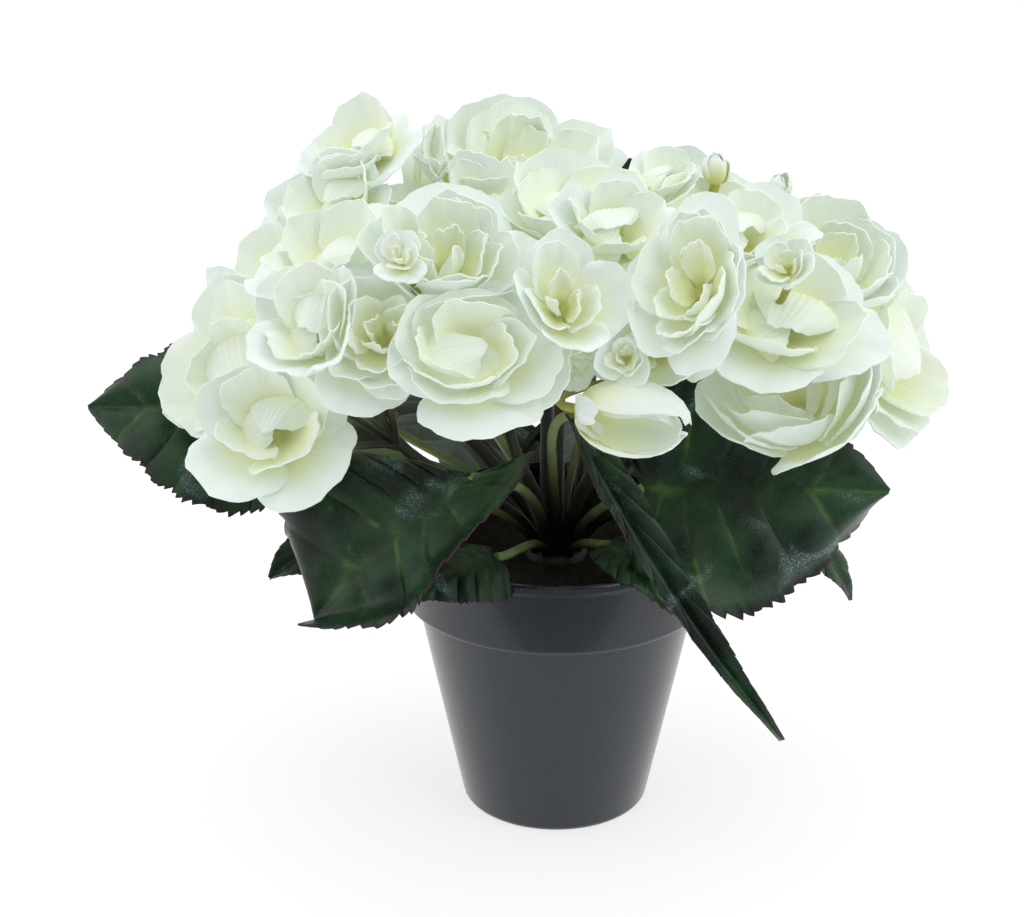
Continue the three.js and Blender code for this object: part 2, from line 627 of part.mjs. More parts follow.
// Leaves. base is where the petiole ends and tip the far point; up is the way the upper face looks at the
// base. left and right are half widths, arch is how far the midrib rises, fold and twist are in degrees,
// and droop bends the sides down by a share of the width.
const LEAVES = [
  {
    name: "leaf_far_left", base: [-102, -34, 166], tip: [-168, -38, 174], up: [0.12, -0.75, 0.65],
    left: 38, right: 30, arch: 5, fold: 8, twist: 0, droop: 0.1,
  },
  {
    name: "leaf_left_low", base: [-31, -79, 164], tip: [-83, -99, 118], up: [-0.2, -0.8, 0.55],
    left: 30, right: 32, arch: 10, fold: 4, twist: 0, droop: 0.15,
  },
  {
    name: "leaf_left_back", base: [-44, -30, 138], tip: [-104, -54, 114], up: [-0.1, -0.55, 0.85],
    left: 26, right: 26, arch: 6, fold: 5, twist: 0, droop: 0.1,
  },
  {
    name: "leaf_rim_left", base: [-16, -48, 120], tip: [-49, -76, 116], up: [0, -0.5, 0.85],
    left: 18, right: 18, arch: 8, fold: -6, twist: 0, droop: 0.3,
  },
  {
    name: "leaf_twisted", base: [8, -86, 186], tip: [78, -102, 74], up: [0.66, -0.6, 0.45],
    left: 14, right: 14, arch: 4, fold: 42, twist: -15, droop: 0,
  },
  {
    name: "leaf_right_large", base: [36, -41, 146], tip: [117, -55, 148], up: [0.1, -0.9, 0.42],
    left: 36, right: 36, arch: 5, fold: 6, twist: 0, droop: 0.14,
  },
  {
    name: "leaf_rim_right", base: [10, -34, 123], tip: [32, -68, 105], up: [0.1, -0.5, 0.85],
    left: 17, right: 17, arch: 7, fold: 4, twist: 0, droop: 0.2,
  },
  {
    name: "leaf_right_back", base: [78, -8, 128], tip: [113, -4, 82], up: [0.2, -0.5, 0.8],
    left: 13, right: 13, arch: 5, fold: 10, twist: 0, droop: 0.2,
  },
  {
    name: "leaf_crown", base: [16, 14, 194], tip: [26, 12, 251], up: [-0.2, -0.9, 0.3],
    left: 14, right: 14, arch: 3, fold: 10, twist: 0, droop: 0,
  },
  {
    name: "leaf_back_right", base: [62, 34, 146], tip: [128, 62, 134], up: [0.1, 0.1, 1],
    left: 32, right: 30, arch: 12, fold: 6, twist: 0, droop: 0.2,
  },
  {
    name: "leaf_back_middle", base: [22, 60, 142], tip: [34, 128, 116], up: [0, 0.4, 0.9],
    left: 32, right: 32, arch: 12, fold: 6, twist: 0, droop: 0.2,
  },
  {
    name: "leaf_back_left", base: [-36, 58, 140], tip: [-62, 122, 118], up: [-0.1, 0.4, 0.9],
    left: 32, right: 30, arch: 12, fold: 6, twist: 0, droop: 0.2,
  },
  {
    name: "leaf_left_rear", base: [-68, 22, 146], tip: [-140, 40, 136], up: [-0.1, 0.1, 1],
    left: 30, right: 30, arch: 10, fold: 6, twist: 0, droop: 0.2,
  },
];

const LEAF_SEGMENTS = 7;
const TOOTH_DEPTH = 0.08;
const NOTCH_PLACE = 0.6; // where between two teeth the notch lies
const MIDDLE_COLUMN = 0.55;

// The flat leaf: s runs along the margin from the base lobe to the tip, and w from the midrib, 0, to the
// margin, 1. Rows of constant s follow the side veins, which leave the midrib low and sweep forward.
function leafFlat(s, w, halfWidth, length) {
  const margin = {
    x: halfWidth * Math.sin(Math.PI * s ** 0.75) ** 0.85 * (1 - 0.22 * s ** 4),
    y: length * (s ** 1.3 - 0.13 * Math.sin(Math.PI * Math.min(1, s / 0.45))),
  };
  const rib = length * (0.55 * s ** 1.5 + 0.45 * s ** 4);
  return { x: margin.x * w, y: rib + (margin.y - rib) * w };
}

// The leaf's midrib is a parabola from base to tip that rises by the arch. The cross-section leaves it at
// the fold angle, droops with the square of the distance, and turns by the twist along the leaf.
function leafFrame(leaf) {
  const base = vector(leaf.base);
  const chord = vector(leaf.tip).sub(base);
  const length = chord.length();
  const forward = chord.clone().normalize();
  const up = vector(leaf.up);
  up.addScaledVector(forward, -up.dot(forward)).normalize();
  return { base, forward, up, length };
}

function leafPoint(leaf, frame, flat, side) {
  const t = flat.y / frame.length;
  const rise = 4 * leaf.arch * t * (1 - t);
  const slope = Math.atan2(4 * leaf.arch * (1 - 2 * t), frame.length);
  const { forward } = frame;
  const up = frame.up.clone().multiplyScalar(Math.cos(slope)).addScaledVector(forward, -Math.sin(slope));
  const sideways = forward.clone().cross(frame.up);
  const turn = radians(leaf.twist) * t;
  const across = sideways.clone().multiplyScalar(Math.cos(turn)).addScaledVector(up, Math.sin(turn));
  const normal = up.clone().multiplyScalar(Math.cos(turn)).addScaledVector(sideways, -Math.sin(turn));
  const fold = radians(leaf.fold);
  const halfWidth = side < 0 ? leaf.left : leaf.right;
  const lift = flat.x * Math.sin(fold) - (leaf.droop * flat.x ** 2) / halfWidth;
  return frame.base
    .clone()
    .addScaledVector(forward, flat.y)
    .addScaledVector(frame.up, rise)
    .addScaledVector(across, side * flat.x * Math.cos(fold))
    .addScaledVector(normal, lift);
}

// The leaf's sheet: midrib, a middle column and a toothed margin on each side. Row ends are tooth tips, and
// a notch lies between each two.
function leafSheet(leaf) {
  const frame = leafFrame(leaf);
  const points = [];
  const faces = [];
  const put = (s, w, side) => {
    const flat = leafFlat(s, w, side < 0 ? leaf.left : leaf.right, frame.length);
    return points.push(leafPoint(leaf, frame, flat, side)) - 1;
  };
  const steps = Array.from({ length: LEAF_SEGMENTS + 1 }, (_, k) => k / LEAF_SEGMENTS);
  const rib = steps.map((s) => put(s, 0, 1));
  for (const side of [-1, 1]) {
    const turned = (a, b, c) => faces.push(side > 0 ? [a, b, c] : [a, c, b]);
    const isEnd = (k) => k === 0 || k === LEAF_SEGMENTS;
    const middle = steps.map((s, k) => (isEnd(k) ? rib[k] : put(s, MIDDLE_COLUMN, side)));
    const margin = steps.map((s, k) => (isEnd(k) ? rib[k] : put(s, 1, side)));
    for (let k = 0; k < LEAF_SEGMENTS; k++) {
      const notch = put((k + NOTCH_PLACE) / LEAF_SEGMENTS, 1 - TOOTH_DEPTH, side);
      if (middle[k] !== rib[k]) turned(rib[k], middle[k], middle[k + 1]);
      if (middle[k + 1] !== rib[k + 1]) turned(rib[k], middle[k + 1], rib[k + 1]);
      if (middle[k] !== margin[k]) turned(middle[k], margin[k], notch);
      turned(middle[k], notch, middle[k + 1]);
      if (middle[k + 1] !== margin[k + 1]) turned(notch, margin[k + 1], middle[k + 1]);
    }
  }
  return { points, faces };
}

function leafSolid(leaf, grow = 0) {
  const { points, faces } = leafSheet(leaf);
  return blade(grow ? spread(points, grow) : points, faces, LEAF_THICKNESS + 2 * grow);
}

// A stem of few sides along a curve between its first and last point, closed at both ends. grow makes it
// thicker.
function tube(points, { radius, sides }, grow) {
  const outline = new THREE.Shape();
  for (let k = 0; k < sides; k++) {
    const turn = (2 * Math.PI * k) / sides;
    const [x, y] = [(radius + grow) * Math.cos(turn), (radius + grow) * Math.sin(turn)];
    if (k) outline.lineTo(x, y);
    else outline.moveTo(x, y);
  }
  outline.closePath();
  const extrudePath = new THREE.CubicBezierCurve3(...points);
  return solidOf(new THREE.ExtrudeGeometry(outline, { steps: TUBE_STEPS, extrudePath, bevelEnabled: false }));
}

function rootSolid() {
  const root = lathe(
    [
      [0, ROOT_BOTTOM_Z + GAP],
      [ROOT_RADIUS, ROOT_BOTTOM_Z + GAP],
      [ROOT_RADIUS, ROOT_TOP_Z - 3],
      [ROOT_RADIUS * 0.7, ROOT_TOP_Z],
      [0, ROOT_TOP_Z + 1],
    ],
    ROOT_SIDES,
  );
  return solidOf(root);
}

const frames = new Map(BLOOMS.map((bloom, index) => [bloom.name, bloomFrame(bloom, index)]));

function branchLine(fork) {
  const end = vector(fork.at);
  const around = Math.atan2(end.y, end.x);
  const start = new THREE.Vector3(Math.cos(around), Math.sin(around), 0).multiplyScalar(ROOT_RADIUS * 0.55);
  start.z = ROOT_TOP_Z - 4;
  const rise = end.z - start.z;
  return [
    start,
    start.clone().add(new THREE.Vector3(start.x * 0.4, start.y * 0.4, rise * 0.45)),
    end.clone().lerp(start, 0.3).add(new THREE.Vector3(0, 0, -rise * 0.08)),
    end,
  ];
}

function pedicelLine(fork, frame) {
  const knot = vector(fork.at);
  const end = frame.base.clone().addScaledVector(frame.axis, -GAP);
  const span = end.distanceTo(knot);
  const start = knot.clone().sub(new THREE.Vector3(0, 0, BRANCH.radius * 0.7));
  return [start, knot.clone().lerp(end, 0.3), end.clone().addScaledVector(frame.axis, -span * 0.3), end];
}

function petioleLine(leaf) {
  const { base, forward, up } = leafFrame(leaf);
  const end = base.clone().addScaledVector(forward, -GAP - 0.4);
  const around = Math.atan2(end.y, end.x);
  const start = new THREE.Vector3(Math.cos(around), Math.sin(around), 0).multiplyScalar(ROOT_RADIUS * 0.6);
  start.z = ROOT_TOP_Z - 3;
  const span = end.distanceTo(start);
  return [
    start,
    start.clone().add(new THREE.Vector3(start.x * 0.5, start.y * 0.5, span * 0.35)),
    end.clone().lerp(start, 0.2).addScaledVector(forward, -span * 0.1).addScaledVector(up, -span * 0.05),
    end,
  ];
}

function stemsSolid(grow = 0) {
  let solid = rootSolid();
  for (const fork of FORKS) {
    solid = solid.add(tube(branchLine(fork), BRANCH, grow));
    for (const name of fork.blooms) {
      solid = solid.add(tube(pedicelLine(fork, frames.get(name)), PEDICEL, grow));
    }
  }
  for (const leaf of LEAVES) solid = solid.add(tube(petioleLine(leaf), PETIOLE, grow));
  return solid;
}

// The assembly

const plant = new THREE.Group();

function place(name, geometry, material) {
  const mesh = new THREE.Mesh(geometry, material);
  mesh.name = name;
  plant.add(mesh);
}

place("pot", potGeometry(), darkPlastic);
place("soil", soilGeometry(), darkSoil);

place("stems", geometryOf(largest(stemsSolid())), stemGreen);

// Stems keep their room before blooms, blooms before leaves, and each leaf before the next.
const stemRoom = stemsSolid(CLEARANCE);
const taken = [stemRoom, solidOf(potGeometry())];
for (const bloom of BLOOMS) {
  const frame = frames.get(bloom.name);
  const whole = bloomSolid(bloom, frame);
  const cut = near(whole, stemRoom) ? whole.subtract(stemRoom) : whole;
  place(bloom.name, geometryOf(largest(cut)), white);
  taken.push(bloomRoom(bloom, frame));
}
for (const leaf of LEAVES) {
  let cut = leafSolid(leaf);
  for (const room of taken) {
    if (near(cut, room)) cut = cut.subtract(room);
  }
  place(leaf.name, geometryOf(largest(cut)), leafGreen);
  taken.push(leafSolid(leaf, CLEARANCE));
}

export default plant;
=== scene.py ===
import json
import math
from typing import NamedTuple

import bpy
import numpy as np
from bpy.props import FloatProperty, FloatVectorProperty, IntProperty, PointerProperty
from bpy.types import Operator, Panel, PropertyGroup
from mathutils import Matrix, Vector

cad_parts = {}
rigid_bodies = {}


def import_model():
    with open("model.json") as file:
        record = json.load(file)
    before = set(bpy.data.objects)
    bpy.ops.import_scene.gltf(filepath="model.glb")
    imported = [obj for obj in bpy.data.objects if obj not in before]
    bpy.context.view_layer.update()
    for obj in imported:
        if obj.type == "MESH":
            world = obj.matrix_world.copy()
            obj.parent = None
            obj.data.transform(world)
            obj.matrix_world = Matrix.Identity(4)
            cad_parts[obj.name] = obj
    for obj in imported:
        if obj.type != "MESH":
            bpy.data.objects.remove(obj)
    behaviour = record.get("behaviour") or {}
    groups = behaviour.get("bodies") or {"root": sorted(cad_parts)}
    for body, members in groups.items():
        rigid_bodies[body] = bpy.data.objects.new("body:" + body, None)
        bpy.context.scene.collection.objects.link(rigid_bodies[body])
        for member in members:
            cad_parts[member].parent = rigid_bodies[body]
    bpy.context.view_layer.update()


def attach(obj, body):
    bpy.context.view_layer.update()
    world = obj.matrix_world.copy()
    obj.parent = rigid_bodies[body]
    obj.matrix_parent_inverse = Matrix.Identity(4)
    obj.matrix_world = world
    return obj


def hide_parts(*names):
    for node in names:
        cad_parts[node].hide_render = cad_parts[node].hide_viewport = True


bl_info = {
    "name": "Potted begonia",
    "version": (1, 0, 0),
    "blender": (4, 5, 0),
    "location": "3D View > Sidebar > Begonia",
    "description": "Builds the petals, leaves, stems, soil and pot of a double white begonia",
    "category": "Add Mesh",
}

for stray in list(bpy.data.objects):
    bpy.data.objects.remove(stray)
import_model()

MM = 0.001
BODY = "root"

# The plant's layout, in millimetres. A bloom has its name, its petals' form, its middle, the way it faces and
# its radius. Where they aren't as usual, there follow how wide it is east, north and along its axis, how far
# its base lies below its middle, as a share of its radius, and the turn of its first hooded petal in degrees.
BLOOMS = [
    ("bloom_front", "full", (-28, -94, 213), (-0.05, -0.68, 0.73), 34, (1.04, 0.8, 0.9), 0.32, 185),
    ("bloom_upper_front", "closed", (-37, -70, 238), (0.06, -0.6, 0.8), 29, (1.06, 1, 1.15), 0.55),
    ("bloom_crown", "closed", (-17, 8, 248), (0.05, -0.35, 0.93), 34, (1.1, 1, 0.95), 0.5),
    ("bloom_crown_front", "full", (4, -34, 243), (0.15, -0.35, 0.92), 30, (1.1, 1, 1), 0.4, 100),
    ("bloom_upper_left", "half", (-80, -18, 242), (-0.5, -0.45, 0.74), 29, (0.85, 0.95, 1), 0.45, 100),
    ("bloom_upper_left_top", "half", (-73, -4, 258), (-0.4, -0.3, 0.87), 22, (1, 1.05, 1.12), 0.5, 80),
    ("bloom_left", "loose", (-113, -48, 193), (-0.5, -0.78, 0.37), 33, (0.98, 1.05, 1), 0.4, 120),
    ("bloom_left_low", "half", (-100, -75, 180), (-0.2, -0.68, 0.7), 29, (1, 0.9, 1.05), 0.45, 75),
    ("bloom_left_middle", "half", (-80, -84, 219), (-0.3, -0.68, 0.67), 28, (1, 1.05, 1), 0.4, 90),
    ("bloom_left_inner", "folded", (-61, -84, 217), (0.05, -0.85, 0.52), 30, (1.05, 0.95, 1), 0.4),
    ("bloom_left_green", "green", (-53, -89, 245), (-0.2, -0.6, 0.78), 17, (0.58, 0.58, 0.8), 0.4),
    ("bloom_left_shoulder", "half", (-79, -56, 233), (-0.3, -0.35, 0.89), 29, (1, 1, 1), 0.45, 70),
    ("bloom_left_small", "half", (-99, -22, 222), (-0.7, -0.35, 0.6), 23),
    ("bloom_middle_small", "green", (1, -92, 231), (0.1, -0.7, 0.7), 22, (0.95, 1.05, 1.1), 0.5),
    ("bud_middle_low", "green", (5, -86, 207), (0.3, -0.8, -0.5), 10, (0.9, 1, 1.2), 0.6),
    ("bloom_right_crown", "half", (18, -54, 244), (0.1, -0.4, 0.91), 27, (1, 1, 1), 0.4, 110),
    ("bloom_right_cup", "closed", (42, -92, 237), (-0.3, -0.74, 0.6), 25, (0.8, 1.14, 1), 0.45),
    ("bloom_right_under", "green", (31, -74, 211), (-0.3, -0.75, 0.6), 29, (1, 1, 1), 0.4),
    ("bud_right_under", "green", (20, -98, 214), (-0.1, -0.85, 0.5), 10, (1, 1, 1.1), 0.6),
    ("bud_right_low", "slit bud", (24, -100, 193), (0.97, -0.2, -0.1), 20, (0.64, 0.62, 0.97), 1),
    ("bloom_right_low", "ball", (80, -60, 187), (-0.35, -0.4, 0.85), 31, (0.94, 0.9, 0.85), 0.5),
    ("bloom_right_middle", "half", (76, -62, 216), (0.1, -0.52, 0.85), 30, (1.1, 1, 1), 0.4, 60),
    ("bud_right_middle", "green", (74, -73, 238), (-0.3, -0.55, 0.78), 10, (1.15, 1.1, 1.1), 0.6),
    ("bloom_right_upper", "half", (64, -48, 240), (0, -0.4, 0.92), 24, (1, 1, 1.1), 0.45, 100),
    ("bloom_far_right", "loose", (120, -10, 185), (0.75, -0.55, 0.36), 32, (0.95, 1, 1), 0.4, 120),
    ("bloom_right_shoulder", "ball", (97, -12, 219), (0.3, -0.4, 0.86), 28, (0.82, 0.85, 0.85), 0.45),
    ("bloom_right_top", "half", (91, 16, 224), (0.3, -0.1, 0.93), 20),
    ("bloom_top_right", "half", (37, -10, 248), (0.05, -0.4, 0.92), 20, (0.8, 0.8, 1.15), 0.45, 100),
    ("bud_top_right", "bud", (56, -7, 253), (0.05, -0.05, 1), 7.5, (1, 1, 1.25), 0.9),
    ("bud_top_far_right", "bud", (79, 3, 243), (0.15, -0.1, 1), 6.5, (1, 1, 1.2), 0.9),
    ("bloom_top_left", "half", (-40, 2, 251), (0.1, -0.45, 0.88), 24, (0.8, 0.8, 0.95), 0.4, 60),
    ("bloom_top_middle", "half", (52, -16, 234), (0.25, -0.45, 0.85), 25),
    ("bloom_back_right", "full", (105, 44, 190), (0.82, 0.45, 0.35), 34),
    ("bloom_back_right_low", "full", (70, 84, 183), (0.55, 0.8, 0.2), 35),
    ("bloom_back", "full", (16, 102, 188), (0.1, 0.97, 0.2), 36),
    ("bloom_back_left_low", "full", (-42, 92, 184), (-0.4, 0.9, 0.15), 35),
    ("bloom_back_left", "full", (-92, 56, 190), (-0.75, 0.6, 0.25), 35),
    ("bloom_back_upper_right", "full", (58, 44, 224), (0.45, 0.5, 0.74), 32),
    ("bloom_back_upper", "full", (2, 62, 226), (0, 0.1, 1), 34, (0.95, 0.95, 0.95), 0.4, 60),
    ("bloom_back_upper_left", "full", (-44, 50, 222), (-0.1, 0.3, 0.95), 32, (0.9, 0.9, 0.9), 0.4, 60),
    ("bloom_back_far_left", "half", (-116, 12, 185), (-0.92, 0.2, 0.3), 26),
    ("bloom_top_back_right", "half", (64, 20, 232), (0.2, 0.1, 0.97), 20),
    ("bloom_top_back_left", "half", (-27, -18, 244), (-0.1, -0.5, 0.85), 25),
    ("bloom_back_left_top", "half", (-88, 28, 223), (-0.6, 0.3, 0.74), 22),
]
USUAL_SINK = 0.4

# Where each branch forks, and the blooms that its pedicels carry.
FORKS = [
    ((-18, -44, 168), "bloom_front bloom_upper_front bud_middle_low bloom_left_green"),
    ((-58, -36, 160), "bloom_left_low bloom_left_middle bloom_left_inner bloom_left"),
    (
        (-58, -4, 182),
        "bloom_upper_left bloom_upper_left_top bloom_left_small bloom_left_shoulder bloom_top_left",
    ),
    ((-4, -8, 200), "bloom_crown bloom_crown_front bloom_top_back_left bloom_top_right bud_top_right"),
    (
        (20, -42, 172),
        "bloom_right_cup bloom_right_crown bloom_middle_small bloom_right_under bud_right_under"
        " bud_right_middle",
    ),
    ((46, -22, 186), "bloom_right_low bloom_right_middle bud_right_low"),
    (
        (58, 0, 176),
        "bloom_far_right bloom_right_shoulder bloom_right_top bud_top_far_right bloom_top_middle"
        " bloom_right_upper",
    ),
    ((48, 38, 168), "bloom_back_right bloom_back_right_low bloom_back_upper_right bloom_top_back_right"),
    ((2, 52, 172), "bloom_back bloom_back_upper"),
    (
        (-52, 34, 166),
        "bloom_back_left_low bloom_back_left bloom_back_upper_left bloom_back_far_left"
        " bloom_back_left_top",
    ),
]

# Leaves: name, base, tip, up, then half widths left and right, arch, fold, twist and droop, how far the left
# and the right side curl under past the middle of their width, and how far the two lobes reach back past the
# base.
LEAVES = [
    ("leaf_far_left", (-102, -34, 166), (-168, -38, 174), (0.12, -0.75, 0.65),
     38, 34, 5, 8, 0, 0.1, 0, 0.1, 0.15, 0.15),
    ("leaf_left_low", (-31, -79, 164), (-85, -99, 119), (-0.2, -0.8, 0.55),
     28, 60, 8, 6, 0, 0.2, -0.4, 0.1, 0.4, 0),
    ("leaf_left_back", (-44, -30, 138), (-104, -54, 114), (-0.1, -0.55, 0.85),
     26, 26, 6, 5, 0, 0.1, 0, 0, 0.15, 0.15),
    ("leaf_rim_left", (-22, -48, 120), (-55, -76, 114), (0, -0.5, 0.85),
     17, 17, 8, -6, 0, 0.4, 0, 0, 0.15, 0.15),
    ("leaf_twisted", (2, -86, 190), (78, -102, 74), (0.66, -0.6, 0.45),
     9, 10, -5, 38, -20, 0, 0, 0.3, 0, 0),
    ("leaf_right_large", (29, -44, 145), (117, -55, 148), (0.1, -0.9, 0.42),
     46, 48, 5, 6, 0, 0.14, 0, 0.25, 0.3, 0.2),
    ("leaf_rim_right", (18, -34, 119), (38, -62, 106), (0.1, -0.5, 0.85),
     11, 11, 5, 4, 0, 0.2, 0, 0, 0.1, 0.1),
    ("leaf_right_back", (78, -8, 128), (113, -4, 82), (0.2, -0.5, 0.8),
     12, 12, 5, 10, 0, 0.2, 0, 0, 0.1, 0.1),
    ("leaf_crown", (16, 14, 194), (26, 12, 251), (-0.2, -0.9, 0.3),
     14, 14, 3, 10, 0, 0, 0, 0, 0, 0),
    ("leaf_back_right", (62, 34, 146), (128, 62, 134), (0.1, 0.1, 1),
     34, 32, 12, 6, 0, 0.4, 0, 0, 0.15, 0.15),
    ("leaf_back_middle", (12, 56, 140), (9, 112, 85), (-0.45, 0.4, 0.8),
     46, 46, 4, 6, 0, 0.4, 0, 0, 0.2, 0.2),
    ("leaf_back_left", (-30, 54, 140), (-46, 110, 90), (0.3, 0.4, 0.85),
     46, 46, 4, 6, 0, 0.4, 0, 0, 0.2, 0.2),
    ("leaf_left_rear", (-66, 20, 146), (-139, 38, 136), (-0.1, 0.1, 1),
     36, 30, 8, 6, 0, 0.4, 0, 0, 0.6, 0.15),
]

# A leaf's width is a sine of this power of the place along it: the higher it is, the nearer to its tip the
# leaf is widest.
USUAL_WIDEST = 0.74
WIDEST = {"leaf_left_low": 1.7, "leaf_right_large": 0.85}


class Layer(NamedTuple):
    """One ring of petals. Lengths, heights and root sizes are shares of the bloom's radius. lean is the angle
    from the bloom's axis at a petal's root and at its tip, and span is the angle that half its width takes up
    round the axis, all in degrees. lip is how far the margin rolls outwards, taper how far its corners stop
    short of its tip, and vary the share of the usual draw that its lean gets. A layer with turns has its
    petals at those angles round the axis."""

    count: int
    length: float
    height: float
    root: float
    lean: tuple
    span: float
    lip: float
    taper: float = 0.28
    vary: float = 1.0
    turns: tuple = ()


# The forms that blooms and buds take, each with its outermost layer first.
OUTER = [
    Layer(4, 1.04, 0.04, 0.06, (88, 54), 62, 0.05),
    Layer(4, 1, 0.09, 0.06, (86, 42), 62, 0.04),
    Layer(3, 0.95, 0.13, 0.06, (84, 26), 74, 0.02),
]
INNER = Layer(3, 0.88, 0.16, 0.06, (80, 6), 74, 0.01)
LAYERS = {
    "full": [*OUTER, INNER],
    "folded": [
        *OUTER[:2],
        Layer(3, 0.94, 0.13, 0.06, (80, 20), 72, 0.02),
        Layer(3, 0.86, 0.16, 0.06, (72, -2), 66, 0.01),
        Layer(3, 0.7, 0.2, 0.05, (60, -16), 62, 0),
    ],
    "closed": [
        Layer(4, 1.16, 0.04, 0.06, (88, 40), 62, 0.05),
        Layer(4, 1.16, 0.08, 0.06, (84, 16), 62, 0.04),
        Layer(4, 1.12, 0.1, 0.06, (78, 2), 56, 0.03),
        Layer(3, 1.02, 0.14, 0.06, (68, -10), 60, 0.02),
        Layer(3, 0.86, 0.18, 0.05, (56, -20), 54, 0),
    ],
    "ball": [
        Layer(4, 1.46, 0, 0.06, (92, 8), 66, 0.05, vary=0.4),
        Layer(4, 1.46, 0.04, 0.06, (88, -6), 64, 0.03, vary=0.4),
        Layer(3, 1.36, 0.08, 0.06, (84, -16), 70, 0.02, vary=0.4),
        Layer(3, 1.16, 0.1, 0.06, (78, -26), 66, 0.02, vary=0.6),
        Layer(3, 0.9, 0.14, 0.06, (70, -30), 60, 0, vary=0.6),
    ],
    "loose": [
        Layer(5, 1.22, 0.1, 0.06, (84, 122), 27, 0, taper=0.5),
        *OUTER[:2],
        INNER,
    ],
    "half": [
        Layer(4, 1.1, 0.08, 0.07, (82, 46), 62, 0.05),
        Layer(4, 0.98, 0.13, 0.07, (78, 20), 66, 0.02),
    ],
    "green": [
        Layer(4, 1.15, 0.08, 0.07, (80, 34), 62, 0.05),
        Layer(3, 0.98, 0.13, 0.07, (70, 8), 60, 0.02),
        Layer(3, 0.66, 0.18, 0.07, (56, -12), 52, 0),
    ],
    "bud": [
        Layer(3, 1.72, 0.04, 0.1, (84, -84), 80, 0),
        Layer(3, 1.55, 0.08, 0.08, (76, -84), 76, 0),
    ],
    "slit bud": [
        Layer(3, 0.9, -0.02, 0.1, (86, 30), 44, 0.03, vary=0.3, turns=(60, 170, 280)),
        Layer(1, 3.05, 0, 0.1, (89, -92), 66, 0, vary=0.3, turns=(82,)),
        Layer(1, 3, 0, 0.08, (88, -92), 64, 0, vary=0.3, turns=(280,)),
        Layer(1, 2.85, 0, 0.06, (88, -88), 84, 0, vary=0.3, turns=(5,)),
        Layer(2, 2.3, 0.1, 0.05, (80, -80), 70, 0, vary=0.3, turns=(330, 90)),
    ],
}
# The hooded petals over each heart: how large each is beside the bloom's radius, and its turn on from the
# first one's in radians.
HOODS = {
    "full": ((1.0, 0.0), (0.72, 2.5)),
    "loose": ((1.0, 0.0), (0.72, 2.5)),
    "half": ((0.9, 0.0), (0.7, 2.2)),
}
# Rows and columns of a petal shorter than the limit in mm, of any other petal and of a hooded petal.
SMALL_PETAL = 17
SMALL_PETAL_GRID, PETAL_GRID, HOOD_GRID = (10, 17), (11, 23), (13, 49)
# What a full draw changes: the degrees of a petal's lean at its root and tip, the degrees of its skew and the
# shares of its length and its span. Then what one step of closing takes off, as shares of both leans.
LEAN_DRAWS = (12, 36)
SKEW_DRAW = 22
SIZE_DRAW = 0.24
LEAN_CLOSING = (0.06, 0.11)
# The share of its radius that a bud keeps beside an open bloom, and the share of two blooms' reach within
# which they press on each other.
BUD_ROOM = 0.85
NEIGHBOUR_REACH = 1.05
# Petals fold in at most this many steps, until they pass no parting plane by more than the easy reach. No
# petal stays further behind its neighbours than the lag.
MOST_CLOSING = 6
EASY_REACH = 12.0
LAG = 2
# How far before a plane a petal starts to flatten, how far the outermost layer may pass it, and how much less
# each further layer may.
PRESS_DEPTH = 8.0
OVERLAP = 8.0
LAYER_STEP = 1.2


def chance(seed, a=0.0, b=0.0, c=0.0):
    """A repeatable number from 0 to 1 for a seed and up to three counters."""
    mixed = np.sin(seed * 12.9898 + a * 78.233 + b * 37.719 + c * 9.131) * 43758.5453
    return mixed - np.floor(mixed)


def unit(v):
    """The vector, or each row of vectors, at length one."""
    v = np.asarray(v, float)
    return v / np.maximum(np.linalg.norm(v, axis=-1, keepdims=True), 1e-9)


def smooth(x, low, high):
    """0 below low, 1 above high, and a smooth rise between."""
    t = np.clip((x - low) / (high - low), 0, 1)
    return t * t * (3 - 2 * t)


# Meshes


class Parts:
    """Closed forms gathered into one mesh, with a UV pair and named numbers for each point."""

    def __init__(self):
        self.points, self.uv, self.quads, self.tris, self.values = [], [], [], [], {}
        self.count = 0

    def add(self, points, uv, quads, tris=(), **values):
        size = len(points)
        self.points.append(points)
        self.uv.append(uv)
        self.quads.append(np.asarray(quads, int).reshape(-1, 4) + self.count)
        self.tris.append(np.asarray(tris, int).reshape(-1, 3) + self.count)
        for name, value in values.items():
            self.values.setdefault(name, []).append(np.broadcast_to(value, size))
        self.count += size

    def piece(self, name, material, slot, nodes, sharp=60):
        """The mesh as an object at the origin, in metres, which rides on the body and stands for nodes."""
        points = np.concatenate(self.points) * MM
        quads, tris = np.concatenate(self.quads), np.concatenate(self.tris)
        corners = np.concatenate([quads.ravel(), tris.ravel()])
        starts = np.concatenate([np.arange(len(quads)) * 4, quads.size + np.arange(len(tris)) * 3])
        mesh = bpy.data.meshes.new(name)
        mesh.vertices.add(len(points))
        mesh.vertices.foreach_set("co", points.astype(np.float32).ravel())
        mesh.loops.add(len(corners))
        mesh.loops.foreach_set("vertex_index", corners.astype(np.int32))
        mesh.polygons.add(len(starts))
        mesh.polygons.foreach_set("loop_start", starts.astype(np.int32))
        mesh.polygons.foreach_set("use_smooth", np.ones(len(starts), bool))
        mesh.update(calc_edges=True)
        layer = mesh.uv_layers.new(name="surface")
        layer.data.foreach_set("uv", np.concatenate(self.uv)[corners].astype(np.float32).ravel())
        for label, value in self.values.items():
            attribute = mesh.attributes.new(label, "FLOAT", "POINT")
            attribute.data.foreach_set("value", np.concatenate(value).astype(np.float32))
        if mesh.validate():
            raise RuntimeError(f"{name} has faces that don't hold together")
        mesh.set_sharp_from_angle(angle=math.radians(sharp))
        mesh.materials.append(material)
        piece = bpy.data.objects.new(name, mesh)
        bpy.context.scene.collection.objects.link(piece)
        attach(piece, BODY)
        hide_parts(*nodes)
        return piece


